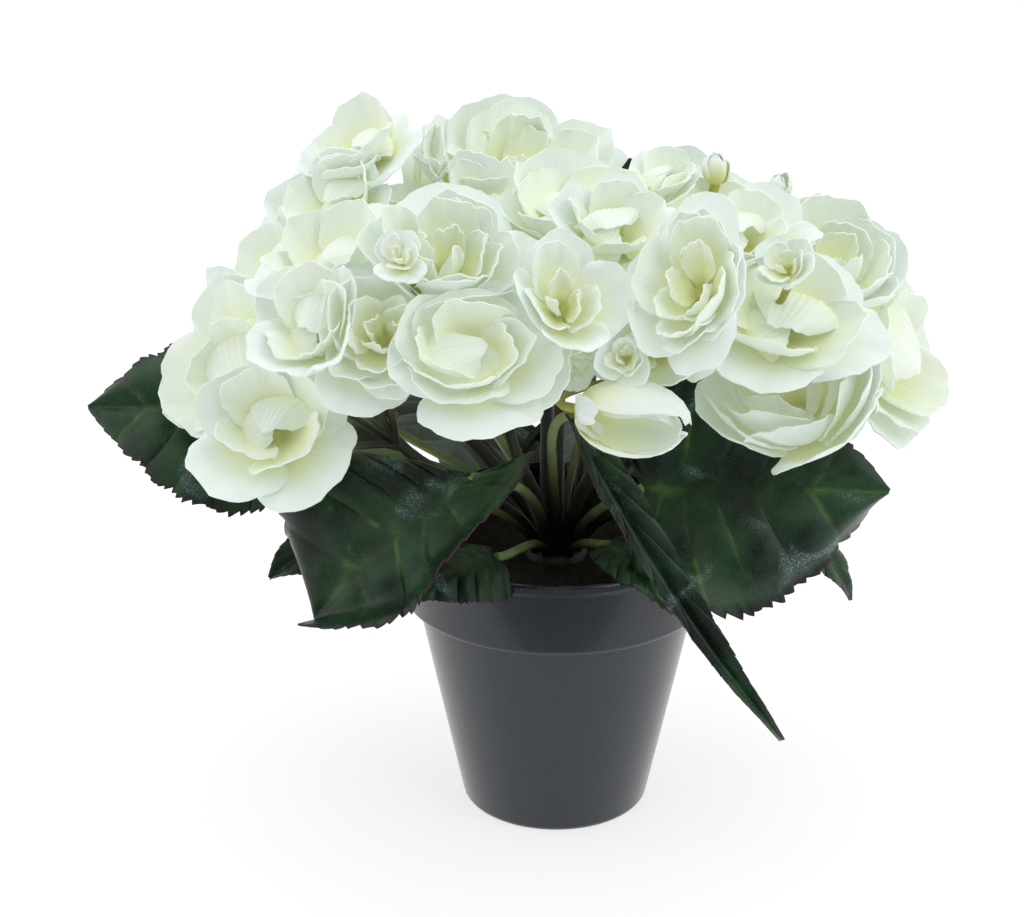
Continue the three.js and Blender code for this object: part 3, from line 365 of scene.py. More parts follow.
def grid_quads(rows, columns, closed=False):
    """The quads of a grid of points, row by row, facing the way across then along. closed joins the last
    column to the first."""
    r, c = np.meshgrid(np.arange(rows - 1), np.arange(columns - (not closed)), indexing="ij")
    step = (c + 1) % columns
    quads = [r * columns + c, r * columns + step, (r + 1) * columns + step, (r + 1) * columns + c]
    return np.stack(quads, -1).reshape(-1, 4)


def grid_uv(rows, columns):
    """The UV pairs of a grid of points, row by row: 0 to 1 across, then 0 to 1 along."""
    u, v = np.meshgrid(np.linspace(0, 1, columns), np.linspace(0, 1, rows))
    return np.stack([u, v], -1).reshape(-1, 2)


def blade(sheet, thickness):
    """A sheet of rows by columns as a closed blade: each face lies half the thickness off it along its
    normal, and a rim joins the two. Returns points, quads and each point's index on the sheet."""
    rows, columns = sheet.shape[:2]
    normal = unit(np.cross(np.gradient(sheet, axis=1), np.gradient(sheet, axis=0)))
    half = np.broadcast_to(thickness, (rows, columns))[..., None] / 2
    points = np.concatenate([(sheet + normal * half).reshape(-1, 3), (sheet - normal * half).reshape(-1, 3)])
    upper = grid_quads(rows, columns)
    index = np.arange(rows * columns).reshape(rows, columns)
    loop = np.concatenate([index[0], index[1:, -1], index[-1, -2::-1], index[-2:0:-1, 0]])
    ahead = np.roll(loop, -1)
    size = rows * columns
    rim = np.stack([ahead, loop, loop + size, ahead + size], -1)
    quads = np.concatenate([upper, upper[:, ::-1] + size, rim])
    return points, quads, np.tile(np.arange(size), 2)


def capped(rings, poles):
    """Rings of points, one row for each, as a closed form: quads join each ring to the next, and a fan of
    triangles joins the first and the last ring to its pole. Returns points, UV pairs, quads and triangles."""
    count, sides = rings.shape[:2]
    size = count * sides
    first = np.arange(sides)
    last = first + size - sides
    tris = [
        np.stack([np.full(sides, size), np.roll(first, -1), first], -1),
        np.stack([np.full(sides, size + 1), last, np.roll(last, -1)], -1),
    ]
    u, v = np.meshgrid(np.arange(sides) / sides, np.linspace(0, 1, count))
    uv = np.concatenate([np.stack([u, v], -1).reshape(-1, 2), [[0.5, 0], [0.5, 1]]])
    points = np.concatenate([rings.reshape(-1, 3), poles])
    return points, uv, grid_quads(count, sides, closed=True), np.concatenate(tris)


def tube(line, radius, sides):
    """A round tube along a line of points: each ring stands square to the line's direction, in a frame
    turned from one fixed side vector."""
    ahead = unit(np.gradient(line, axis=0))
    hint = np.eye(3)[int(np.argmin(np.abs(ahead.mean(0))))]
    side = unit(np.cross(ahead, hint))[:, None]
    up = np.cross(side[:, 0], ahead)[:, None]
    turn = np.linspace(0, 2 * np.pi, sides, endpoint=False)[None, :, None]
    ring = np.cos(turn) * side + np.sin(turn) * up
    rings = line[:, None] + ring * np.broadcast_to(radius, len(line))[:, None, None]
    return capped(rings, line[[0, -1]])


def lathe(profile, sides):
    """A profile of (radius, height) pairs, from its first pole to its last, carried round the z axis."""
    profile = np.asarray(profile, float)
    turn = np.linspace(0, 2 * np.pi, sides, endpoint=False)
    radius, height = profile[1:-1, :1], profile[1:-1, 1:]
    level = np.broadcast_to(height, (len(height), sides))
    rings = np.stack([radius * np.cos(turn), radius * np.sin(turn), level], -1)
    return capped(rings, [[0, 0, profile[0, 1]], [0, 0, profile[-1, 1]]])


def rounded(profile, steps=3, share=0.35, most=0.8):
    """A profile with each inner corner cut by a short curve: a quadratic from a point before the corner
    to a point after it, that far from it as share of the shorter side, and at most that many mm."""
    profile = np.asarray(profile, float)
    out = [profile[0]]
    for before, corner, after in zip(profile[:-2], profile[1:-1], profile[2:]):
        reach = min(most, share * np.linalg.norm(before - corner), share * np.linalg.norm(after - corner))
        a = corner + unit(before - corner) * reach
        b = corner + unit(after - corner) * reach
        t = np.linspace(0, 1, steps + 1)[:, None]
        out.extend((1 - t) ** 2 * a + 2 * t * (1 - t) * corner + t**2 * b)
    out.append(profile[-1])
    return np.array(out)


def bezier(points, steps):
    """The cubic curve through its first and last of four points, drawn to the two between."""
    a, b, c, d = (np.asarray(p, float) for p in points)
    t = np.linspace(0, 1, steps)[:, None]
    return (1 - t) ** 3 * a + 3 * t * (1 - t) ** 2 * b + 3 * t**2 * (1 - t) * c + t**3 * d


# Finishes


class Finish:
    """A material, with short ways to add its nodes."""

    def __init__(self, name):
        self.material = bpy.data.materials.new(name)
        self.material.use_nodes = True
        self.tree = self.material.node_tree
        self.shader = self.tree.nodes["Principled BSDF"]

    def link(self, value, socket):
        if isinstance(value, bpy.types.NodeSocket):
            self.tree.links.new(value, socket)
        else:
            socket.default_value = value

    def node(self, kind, inputs=None, **settings):
        node = self.tree.nodes.new(kind)
        for name, value in settings.items():
            setattr(node, name, value)
        for name, value in (inputs or {}).items():
            self.link(value, node.inputs[name])
        return node

    def maths(self, operation, a, b=0.0):
        node = self.node("ShaderNodeMath", operation=operation)
        self.link(a, node.inputs[0])
        self.link(b, node.inputs[1])
        return node.outputs[0]

    def times(self, a, b):
        return self.maths("MULTIPLY", a, b)

    def step(self, value, low, high, start=0.0, end=1.0):
        inputs = {"Value": value, "From Min": low, "From Max": high, "To Min": start, "To Max": end}
        return self.node("ShaderNodeMapRange", inputs, interpolation_type="SMOOTHSTEP").outputs[0]

    def mix(self, share, a, b):
        """A blend of two colours; one given as three numbers gets its alpha here."""
        node = self.node("ShaderNodeMix", data_type="RGBA", blend_type="MIX")
        a, b = (v if isinstance(v, bpy.types.NodeSocket) else (*v, 1) for v in (a, b))
        self.link(share, node.inputs[0])
        self.link(a, node.inputs[6])
        self.link(b, node.inputs[7])
        return node.outputs[2]

    def noise(self, place, scale, detail=3.0, roughness=0.5, distortion=0.0):
        inputs = {"Vector": place, "Scale": scale, "Detail": detail, "Roughness": roughness}
        return self.node("ShaderNodeTexNoise", {**inputs, "Distortion": distortion}).outputs["Fac"]

    def place(self):
        return self.node("ShaderNodeTexCoord").outputs["Object"]

    def surface(self):
        """The piece's own UV as two numbers."""
        uv = self.node("ShaderNodeUVMap", uv_map="surface").outputs[0]
        parts = self.node("ShaderNodeSeparateXYZ", {0: uv})
        return parts.outputs[0], parts.outputs[1]

    def value(self, name):
        return self.node("ShaderNodeAttribute", attribute_name=name).outputs["Fac"]

    def vector(self, x, y, z):
        return self.node("ShaderNodeCombineXYZ", {0: x, 1: y, 2: z}).outputs[0]

    def bump(self, height, distance, strength, under=None):
        inputs = {"Height": height, "Distance": distance, "Strength": strength}
        if under is not None:
            inputs["Normal"] = under
        return self.node("ShaderNodeBump", inputs).outputs[0]

    def set(self, **sockets):
        """The material, with the shader's sockets of those names set or linked."""
        for name, value in sockets.items():
            self.link(value, self.shader.inputs[name.replace("_", " ")])
        return self.material


def petal_finish(settings):
    """White cloth petals: cool at the margin, creamy green towards the heart and yellow-green at the root,
    where the creamy green of the deeper layers is partly painted shade, with fine pleats that run from root
    to tip, and a faint painted glow, an even emission that lifts their shade as light passing through them
    would."""
    finish = Finish("petal cloth")
    across, along = finish.surface()
    place = finish.vector(finish.times(across, 34.0), finish.times(along, 1.6), finish.value("draw"))
    streaks = finish.noise(place, 1.0, 2.0, 0.55)
    cloth = finish.noise(finish.place(), 2600.0, 2.0)
    # Creamy heart colour: the petals' own tint towards the root, and painted shade in the deeper layers.
    colour = finish.mix(finish.value("warmth"), settings.margin, settings.heart)
    colour = finish.mix(finish.times(finish.step(streaks, 0.3, 0.7), 0.3), colour, (0.82, 0.88, 0.87))
    root = finish.maths("POWER", finish.step(along, 0.02, 0.4, 1.0, 0.0), 1.3)
    colour = finish.mix(root, colour, settings.root)
    normal = finish.bump(cloth, 0.00012, 0.35, finish.bump(streaks, 0.0006, 0.4))
    return finish.set(
        Base_Color=colour,
        Normal=normal,
        Roughness=0.62,
        Specular_IOR_Level=0.25,
        Sheen_Weight=0.05,
        # Painted glow: a faint creamy emission that lifts the petals' shade, standing in for light passing
        # through them.
        Emission_Color=(*settings.glow, 1),
        Emission_Strength=0.1,
    )


def leaf_finish(settings):
    """Waxed dark green leaves: sunken veins that are yellow-green in places, a purple-brown toothed margin, a
    greyer underside, a faint painted sheen of grey-blue specks all over, and patches where pale painted
    glints stand in for the gloss that a fine grain breaks up."""
    finish = Finish("waxed leaf")
    across = finish.surface()[1]
    under = finish.value("under")
    place = finish.place()
    cloud = finish.noise(place, 38.0, 4.0, 0.6)
    patch = finish.noise(place, 44.0, 2.0, 0.5, 1.0)
    fleck = finish.noise(place, 1500.0, 3.0, 0.7)
    grain = finish.noise(place, 2400.0, 2.0, 0.6)
    colour = finish.mix(finish.step(cloud, 0.35, 0.68), settings.dark, settings.light)
    # Painted sheen: fine specks over the whole leaf lightened towards grey-blue, standing in for the satin
    # gloss.
    painted_sheen = finish.times(finish.step(fleck, 0.45, 0.75), 0.12)
    colour = finish.mix(painted_sheen, colour, (0.1, 0.16, 0.13))
    shown = finish.times(finish.value("vein"), finish.step(cloud, 0.5, 0.66, 0.05, 0.75))
    colour = finish.mix(shown, colour, settings.vein)
    # Painted glints: pale blue-white specks in patches, painted highlights standing in for the leaves' gloss.
    painted_glints = finish.times(finish.step(patch, 0.58, 0.76), finish.step(fleck, 0.5, 0.62, 0.1, 0.65))
    colour = finish.mix(painted_glints, colour, settings.painted_glints)
    colour = finish.mix(finish.times(under, 0.5), colour, (0.03, 0.05, 0.025))
    from_rib = finish.maths("ABSOLUTE", finish.maths("SUBTRACT", across, 0.5))
    colour = finish.mix(finish.step(from_rib, 0.47, 0.492), colour, settings.margin)
    normal = finish.bump(grain, 0.0001, 0.5, finish.bump(fleck, 0.0003, 0.5))
    gloss = finish.maths("ADD", finish.step(fleck, 0.35, 0.7, 0.26, 0.44), finish.times(under, 0.3))
    return finish.set(Base_Color=colour, Roughness=gloss, Specular_IOR_Level=0.32, Normal=normal)


def stem_finish(name, root, tip):
    """Stems that pass from one colour at the root to another at the bloom or leaf, with brown mottling. Their
    dark colour at the root is partly their own and partly painted shade deep inside the plant.
    """
    finish = Finish(name)
    along = finish.surface()[1]
    mottle = finish.noise(finish.place(), 160.0, 3.0)
    colour = finish.mix(finish.step(along, 0.15, 0.8), root, tip)
    colour = finish.mix(finish.step(mottle, 0.4, 0.75, 0.0, 0.35), colour, (0.05, 0.05, 0.02))
    return finish.set(Base_Color=colour, Roughness=0.5, Normal=finish.bump(mottle, 0.0003, 0.4))


def pot_finish(settings):
    """Moulded dark grey plastic: a fine matt speckle under a soft gloss."""
    finish = Finish("moulded plastic")
    speckle = finish.noise(finish.place(), 2200.0, 2.0, 0.6)
    colour = finish.mix(finish.step(speckle, 0.5, 0.8, 0.0, 0.12), settings.colour, (0.12, 0.125, 0.13))
    return finish.set(
        Base_Color=colour,
        Roughness=finish.step(speckle, 0.3, 0.8, settings.roughness, settings.roughness + 0.12),
        Specular_IOR_Level=0.4,
        Coat_Weight=0.4,
        Coat_Roughness=0.14,
        Normal=finish.bump(speckle, 0.00006, 0.35),
    )


def soil_finish():
    """Dark dry compost, from near black to a dull brown."""
    finish = Finish("dark compost")
    crumbs = finish.noise(finish.place(), 420.0, 5.0, 0.7)
    colour = finish.mix(finish.step(crumbs, 0.4, 0.72), (0.006, 0.005, 0.004), (0.035, 0.025, 0.018))
    return finish.set(Base_Color=colour, Roughness=0.95, Normal=finish.bump(crumbs, 0.0012, 0.8))


# Pot and soil

# Radius and height of the pot's outline, in mm: out from the middle of its floor, up its outside, over the
# collar's rim and down its inside. Then the rim's radius and the pot's height in metres.
POT_PROFILE = [
    (0, 1.2), (30.5, 1.2), (32, 0), (34.6, 0), (35.6, 1.4), (53.0, 84.2), (53.2, 85.4), (57.6, 85.0),
    (58.2, 86.2), (59.7, 108.8), (60.0, 110.4), (60.0, 112.2), (59.2, 113), (58.2, 113), (57.4, 111.8),
    (55.4, 87.6), (50.4, 82.4), (33.6, 4), (0, 4),
]
POT_RIM, POT_HEIGHT = 0.06, 0.113

# The soil's outline below its top, in mm, then its top's height at the edge and its rise to the middle.
SOIL_FOOT = [(0, 4.3), (33, 4.3), (49.6, 82.4), (54.4, 87.6), (55.2, 96.4)]
SOIL_TOP, SOIL_RISE = 97, 3.4


def build_pot(settings):
    """The pot's outline, with its corners rounded, carried round its axis."""
    scale = np.array([settings.rim_radius / POT_RIM, settings.height / POT_HEIGHT])
    parts = Parts()
    parts.add(*lathe(rounded(np.array(POT_PROFILE) * scale), settings.sides))
    return parts.piece("pot_shell", pot_finish(settings), "pot", ["pot"], sharp=80)


def build_soil():
    """A lathe form whose top rises to the stems by a parabola, with clods: three waves of different pitch and
    a fine draw for each point."""
    tops = [(r, SOIL_TOP + SOIL_RISE * (1 - (r / 56) ** 2)) for r in np.linspace(54.2, 1.5, 30)]
    points, uv, quads, tris = lathe([*SOIL_FOOT, *tops, (0, 100.6)], 96)
    r = np.hypot(points[:, 0], points[:, 1])
    turn = np.arctan2(points[:, 1], points[:, 0])
    top = (points[:, 2] > 96.6) & (r > 1)
    clods = (
        np.sin(r * 0.9 + 3 * np.sin(turn * 3)) * np.sin(turn * 9 + r * 0.35)
        + 0.7 * np.sin(r * 1.7 + turn * 17)
        + 1.1 * (chance(7, np.round(points[:, 0], 1), np.round(points[:, 1], 1)) - 0.5)
    )
    points[:, 2] += np.where(top, 0.8 * clods, 0)
    parts = Parts()
    parts.add(points, uv, quads, tris)
    return parts.piece("soil_crumbs", soil_finish(), "soil", ["soil"], sharp=180)


# Blooms


class Bloom:
    """One bloom's frame: its base, its axis, two directions square to it, and the form of its petals."""

    def __init__(self, index):
        self.name, self.form, middle, face, self.radius, *own = BLOOMS[index]
        self.is_bud = self.name.startswith("bud")
        self.seed = 3 + index * 1.7
        self.stretch, sink, *turn = own or ((1, 1, 1), USUAL_SINK)
        self.turn = math.radians(turn[0] if turn else 110 * self.seed)
        self.middle = np.array(middle, float)
        self.reach = self.radius * self.stretch[0]
        self.axis = unit(face)
        self.base = self.middle - sink * self.radius * self.axis
        hint = np.array([0, 0, 1.0]) if abs(self.axis[2]) < 0.9 else np.array([0, 1.0, 0])
        self.east = unit(np.cross(hint, self.axis))
        self.north = np.cross(self.axis, self.east)
        way = 2 * np.pi * chance(self.seed, 9)
        east, north = 0.1 * self.radius * np.array([math.cos(way), math.sin(way)])
        self.drift = east * self.east + north * self.north

    def place(self, x, y, z):
        """Points given by their distances to the east and the north of the axis and along it."""
        x, y, z = x * self.stretch[0], y * self.stretch[1], z * self.stretch[2]
        return self.base + x[..., None] * self.east + y[..., None] * self.north + z[..., None] * self.axis


def all_blooms():
    return [Bloom(index) for index in range(len(BLOOMS))]


def parting_planes(bloom, blooms):
    """The planes, as normals and offsets, where the bloom presses against its neighbours: where the two
    blooms' spheres would meet, except that a closed bud keeps its width beside an open bloom."""
    normals, offsets = [], []
    for other in blooms:
        towards = other.middle - bloom.middle
        distance = np.linalg.norm(towards)
        if other is bloom or distance > (bloom.reach + other.reach) * NEIGHBOUR_REACH:
            continue
        if bloom.is_bud and not other.is_bud:
            reach = BUD_ROOM * bloom.radius
        elif other.is_bud and not bloom.is_bud:
            reach = distance - BUD_ROOM * other.radius
        else:
            reach = (distance**2 + bloom.reach**2 - other.reach**2) / (2 * distance)
        normals.append(towards / distance)
        offsets.append(normals[-1] @ bloom.middle + reach)
    return np.array(normals).reshape(-1, 3), np.array(offsets)


def petal_sheet(bloom, layer, turn, draws, closing, rows, columns, ruffle):
    """One petal's sheet, as rows from root to tip and columns from side to side.

    It is a part of a bowl turned round the bloom's axis. The bowl's line is an arc whose angle from the axis
    goes evenly from the first lean to the second; closing folds both towards the axis, and the skew opens
    one side and closes the other. The petal takes up the span to each side of its turn, less at its root.
    Its tip is rounded: the outer columns stop short by the square of their place, with a ragged edge, a
    notch and a small point. One side lies further in than the other, so neighbours overlap. A broad wave and
    finer ones near the margin bend it, and the lip rolls it outwards."""
    radius = bloom.radius
    s = np.linspace(0, 1, rows)[:, None]
    w = np.linspace(-1, 1, columns)[None, :]
    start, end = (
        math.radians((angle + layer.vary * most * draw) * (1 - less * closing))
        for angle, most, less, draw in zip(layer.lean, LEAN_DRAWS, LEAN_CLOSING, draws)
    )
    skew = math.radians(SKEW_DRAW) * draws[4] * layer.vary
    bend = end - start + skew * w * s
    bend = np.where(np.abs(bend) > 0.02, bend, 0.02)
    length = radius * layer.length * (1 + SIZE_DRAW * draws[2]) * (1 - 0.03 * closing)
    span = math.radians(layer.span) * (1 + SIZE_DRAW * draws[3])
    edge = np.maximum(s**3, np.abs(w) ** 3 * smooth(s, 0.15, 0.6))
    ragged = 0.018 * np.sin(9 * w + 40 * draws[5]) + 0.008 * np.sin(23 * w + 70 * draws[6])
    notch = 0.05 * max(0.0, 2 * draws[7]) * np.exp(-((w + 0.4 * draws[6]) ** 2) / 0.02)
    point = 0.04 * max(0.0, -2 * draws[7]) * np.exp(-np.abs(w - 0.9 * draws[5]) / 0.12)
    reach = s * (1 - layer.taper * w * w * s - 0.14 * w**6 * s + (ragged - notch + point) * s**2)
    angle = start + bend * reach
    along = length * (math.cos(start) - np.cos(angle)) / bend
    above = length * (np.sin(angle) - math.sin(start)) / bend
    phase = 2 * np.pi * draws[5]
    waves = (
        1.5 * np.sin(phase + 1.7 * np.pi * w) * s**1.5 * (0.5 + np.abs(draws[3]))
        + 0.5 * s**3 * np.sin(2 * phase + 4.6 * np.pi * w + 2 * s)
        + 0.2 * edge * np.sin(3 * phase + 8.5 * np.pi * w + 3 * s)
        + 0.4 * np.abs(w) ** 2 * np.sin(2 * phase + 5 * s)
    )
    tuck = 0.05 * radius * w * smooth(s, 0.05, 0.5)
    lip = layer.lip * (1 + 1.6 * draws[6]) * radius * smooth(edge, 0.35, 1.0) ** 1.5
    inward = ruffle * radius * waves + tuck - lip
    radial = np.maximum(radius * layer.root + along - np.cos(angle) * inward, 0.02 * radius)
    axial = radius * layer.height + above + np.sin(angle) * inward
    around = turn + w * span * (0.72 + 0.28 * smooth(s, 0.0, 0.5)) * (1 - 0.12 * s**4)
    return bloom.place(np.cos(around) * radial, np.sin(around) * radial, axial)


def hood_sheet(bloom, size, turn, draws, rows, columns):
    """A petal that bends over the heart like a hood. Its middle line is part of an ellipse in the plane of
    the turn, from below the heart's side to past its top. To each side it falls off that ellipse by the
    square of the place across. Its half width is a power of a sine along it, and pleats run side by side
    from root to tip."""
    radius = bloom.radius * size * (1 + 0.2 * draws[0])
    s = np.linspace(0, 1, rows)[:, None]
    w = np.linspace(-1, 1, columns)[None, :]
    past = 108 + 24 * draws[1]
    ragged = 0.02 * np.sin(5 * w + 40 * draws[2]) + 0.006 * np.sin(17 * w + 40 * draws[3])
    swing = np.radians(-62 + (62 + past) * s * (1 - 0.12 * w * w + ragged * s))
    pleats = 0.007 * np.sin(30 * w + 4 * s + 2 * np.sin(3 * w))
    pleats = pleats * smooth(s, 0.05, 0.4) * smooth(1 - s, 0, 0.15)
    fall = radius * ((0.2 + 0.1 * draws[4]) * w * w - pleats - 0.03 * np.sin(5 * w + 9 * draws[5]) * s)
    outward = np.cos(swing) * (0.56 * radius - fall)
    axial = 0.34 * radius + np.sin(swing) * (0.28 * radius - fall)
    side = radius * 0.58 * w * np.sin(np.pi * (0.1 + 0.8 * s)) ** 0.55
    x = np.cos(turn) * outward - np.sin(turn) * side
    y = np.sin(turn) * outward + np.cos(turn) * side
    return bloom.place(x, y, axial)


def press(sheet, normals, offsets, depth):
    """The sheet kept behind each plane: from the depth before it on, a point that is x too far ends at the
    depth times one minus e to the power of -x over the depth, so petals flatten against their neighbours."""
    for normal, offset in zip(normals, offsets):
        short = sheet @ normal - offset + depth
        over = np.maximum(short, 0)
        sheet = sheet + (depth * (1 - np.exp(-over / depth)) - over)[..., None] * normal
    return sheet


def closings(bloom, layer, turns, draws, normals, offsets, outer):
    """How far, in steps, each petal of a layer folds to its axis to reach past no plane by more than the
    easy reach. Neighbours and the layer inside follow."""
    steps = []
    for k, turn in enumerate(turns):
        step = 0
        if outer is not None:
            share = k / len(turns) * len(outer)
            step = max(outer[int(share) % len(outer)], outer[(int(share) + 1) % len(outer)])
        while step < MOST_CLOSING:
            sheet = petal_sheet(bloom, layer, turn, draws[k], step, 3, 7, 0.0)[1:]
            if not len(normals) or (sheet @ normals.T - offsets).max() < EASY_REACH:
                break
            step += 1
        steps.append(step)
    return [max(a, b - LAG, c - LAG) for a, b, c in zip(steps, np.roll(steps, 1), np.roll(steps, -1))]


def heart_of(bloom):
    """The bloom's green heart, which its petals stand on: a small closed form turned round its axis."""
    r = bloom.radius
    sides = [(0.1 * r, 0.03 * r), (0.12 * r, 0.12 * r), (0.07 * r, 0.2 * r)]
    profile = [(0, -0.4), (1.6, -0.4), *sides, (0, 0.22 * r)]
    points, uv, quads, tris = lathe(rounded(profile, 2, 0.4, 2.0), 16)
    uv[:, 1] = 0.04
    return bloom.base + points @ np.stack([bloom.east, bloom.north, bloom.axis]), uv, quads, tris


def add_petal(parts, sheet, depth, draw, settings, green=1.0):
    """The sheet as a closed petal, creamier towards its root, which is the petal's own tint, and creamier the
    deeper it stands in the bloom, which is painted shade of the recesses. The lower green is, the further the
    root's colour reaches."""
    rows, columns = sheet.shape[:2]
    points, quads, source = blade(sheet, settings.thickness / MM)
    uv = grid_uv(rows, columns)[source]
    along = uv[:, 1]
    # The first term is the petal's own tint towards its root; the depth term is painted shade, creamier in
    # the deeper layers.
    warmth = 1 - smooth(along, 0.12, 0.85) + 0.6 * depth * (1 - 0.5 * along)
    parts.add(points, uv * [1, green], quads, warmth=np.clip(warmth, 0, 1), draw=draw)


def layer_turns(bloom, layer, depth):
    """A layer's own turns, or else even ones with a draw each, half a petal on from the layer outside."""
    if layer.turns:
        return np.radians(layer.turns)
    counter = np.arange(layer.count)
    draws = chance(bloom.seed, depth + 1, counter + 1) - 0.5
    turns = (counter + 0.5 * depth + 0.4 * draws) / layer.count
    return turns * 2 * np.pi + bloom.seed + 0.7 * depth


def build_bloom(bloom, blooms, settings, material):
    """One bloom's petals, layer by layer, its hooded petals and its heart, as one piece. The deeper a layer
    lies, the further it drifts to one side, so that the heart stands off the middle, and the more painted
    shade tints it creamy green. On a slit bud each petal of a layer takes less of that painted shade tint and
    drifts less than the one before."""
    parts = Parts()
    normals, offsets = parting_planes(bloom, blooms)
    green = 0.4 if bloom.form == "bud" else 1.0
    cooling = 0.6 if bloom.form == "slit bud" else 0.0
    closing = None
    layers = LAYERS[bloom.form]
    for depth, layer in enumerate(layers):
        turns = layer_turns(bloom, layer, depth)
        counter = np.arange(layer.count)[:, None]
        draws = chance(bloom.seed, depth + 4, counter + 1, np.arange(8)[None, :] + 2) - 0.5
        closing = closings(bloom, layer, turns, draws, normals, offsets, closing)
        grid = SMALL_PETAL_GRID if layer.length * bloom.radius < SMALL_PETAL else PETAL_GRID
        share = depth / len(layers)
        for turn, draw, folded, k in zip(turns, draws, closing, range(layer.count)):
            sheet = petal_sheet(bloom, layer, turn, draw, folded, *grid, settings.ruffle)
            back = OVERLAP - LAYER_STEP * depth + 1.2 * draw[1]
            sheet = press(sheet + share * bloom.drift, normals, offsets + back, PRESS_DEPTH)
            share -= cooling
            add_petal(parts, sheet, share, 40 * draw[3] + 7 * k, settings, green)
    for k, (size, apart) in enumerate(HOODS.get(bloom.form, ())):
        draws = chance(bloom.seed, 20 + k, 3, np.arange(8) + 2) - 0.5
        sheet = hood_sheet(bloom, size, bloom.turn + apart + 0.5 * draws[6], draws, *HOOD_GRID) + bloom.drift
        # Hooded petals take a middle share of the painted shade tint.
        add_petal(parts, press(sheet, normals, offsets, PRESS_DEPTH), 0.5, 40 * draws[7], settings)
    points, uv, quads, tris = heart_of(bloom)
    parts.add(points, uv, quads, tris, warmth=1.0, draw=0.0)
    return parts.piece(f"{bloom.name}_petals", material, "bud" if bloom.is_bud else "petal", [bloom.name])


# Stems


# Radius and height of the root clump's outline, in mm, and those where branches and petioles leave it.
CLUMP_PROFILE = [(0, 79.4), (13, 79.4), (13, 99), (11, 102.6), (7, 104.4), (0, 105)]
BRANCH_FOOT, PETIOLE_FOOT = (7.15, 98), (7.8, 99)
# How far under its fork a pedicel starts, and how far inside a bloom and a leaf their stalks end.
FORK_DEPTH, BLOOM_DEPTH, LEAF_DEPTH = 1.75, 0.6, 1.0
# The stems' finishes, with their colours at the root and at the tip. The near-black root colours, and the
# branches' dark colours all along, are partly the stems' own and partly painted shade inside the plant.
STEM_FINISHES = {
    "branches": ("young wood with painted shade", (0.006, 0.006, 0.004), (0.02, 0.024, 0.012)),
    "pedicels": ("pedicel green", (0.016, 0.02, 0.01), (0.4, 0.4, 0.09)),
    "petioles": ("petiole green", (0.006, 0.008, 0.005), (0.2, 0.27, 0.1)),
}


def clump_point(end, radius, height):
    """Where the root clump, at that radius and height, faces the end."""
    point = unit([end[0], end[1], 0]) * radius
    point[2] = height
    return point


def branch_line(fork):
    """From the root clump, out and up to the fork."""
    end = np.array(fork, float)
    start = clump_point(end, *BRANCH_FOOT)
    rise = end[2] - start[2]
    first = start + [start[0] * 0.4, start[1] * 0.4, rise * 0.45]
    second = end + (start - end) * 0.3 - [0, 0, rise * 0.08]
    return bezier([start, first, second, end], 14)


def pedicel_line(fork, bloom):
    """From inside the fork to the base of the bloom, which it meets along the bloom's axis."""
    knot = np.array(fork, float)
    end = bloom.base + bloom.axis * BLOOM_DEPTH
    span = np.linalg.norm(end - knot)
    start = knot - [0, 0, FORK_DEPTH]
    return bezier([start, knot + (end - knot) * 0.3, end - bloom.axis * span * 0.3, end], 12)


def petiole_line(leaf):
    """From the root clump, out and up to the leaf's base, which it meets along the leaf."""
    end = leaf.base + leaf.forward * LEAF_DEPTH
    start = clump_point(end, *PETIOLE_FOOT)
    span = np.linalg.norm(end - start)
    first = start + [start[0] * 0.5, start[1] * 0.5, span * 0.35]
    second = end + (start - end) * 0.2 - leaf.forward * span * 0.1 - leaf.up * span * 0.05
    return bezier([start, first, second, end], 16)


def build_stems(settings, blooms, leaves):
    """Branches that taper to their forks, pedicels that widen into the blooms, and petioles."""
    named = {bloom.name: bloom for bloom in blooms}
    stems = {name: Parts() for name in STEM_FINISHES}
    stems["branches"].add(*lathe(rounded(CLUMP_PROFILE, 3, 0.4, 3), 32))
    for fork, names in FORKS:
        line = branch_line(fork)
        radius = settings.branch / MM * np.linspace(1.15, 0.85, len(line))
        stems["branches"].add(*tube(line, radius, 12))
        for name in names.split():
            line = pedicel_line(fork, named[name])
            flare = 1 + 0.35 * smooth(np.linspace(0, 1, len(line)), 0.8, 1.0)
            stems["pedicels"].add(*tube(line, settings.pedicel / MM * flare, 10))
    for leaf in leaves:
        stems["petioles"].add(*tube(petiole_line(leaf), settings.petiole / MM, 10))
    for name, parts in stems.items():
        parts.piece(name, stem_finish(*STEM_FINISHES[name]), "stem", ["stems"])


# Leaves


class Leaf:
    """One leaf's frame: base, forward along its midrib, up, and its length."""

    def __init__(self, row):
        self.name, base, tip, up, *numbers = row
        self.left, self.right, self.arch, fold, twist, self.droop, *sides = numbers
        self.curl, self.lobes = sides[:2], sides[2:]
        self.widest = WIDEST.get(self.name, USUAL_WIDEST)
        self.fold, self.twist = math.radians(fold), math.radians(twist)
        self.base = np.array(base, float)
        chord, up = np.array(tip, float) - self.base, np.array(up, float)
        self.length = np.linalg.norm(chord)
        self.forward = chord / self.length
        self.up = unit(up - (up @ self.forward) * self.forward)
        self.seed = float(np.abs(chord).sum()) * 0.37


# Side veins, and the teeth between two of them.
SIDE_VEINS = 7
SAW_TEETH = 4
# Rows and columns of a leaf longer than the limit in mm, and of any other.
LONG_LEAF = 62
LONG_GRID, SHORT_GRID = (180, 25), (110, 17)


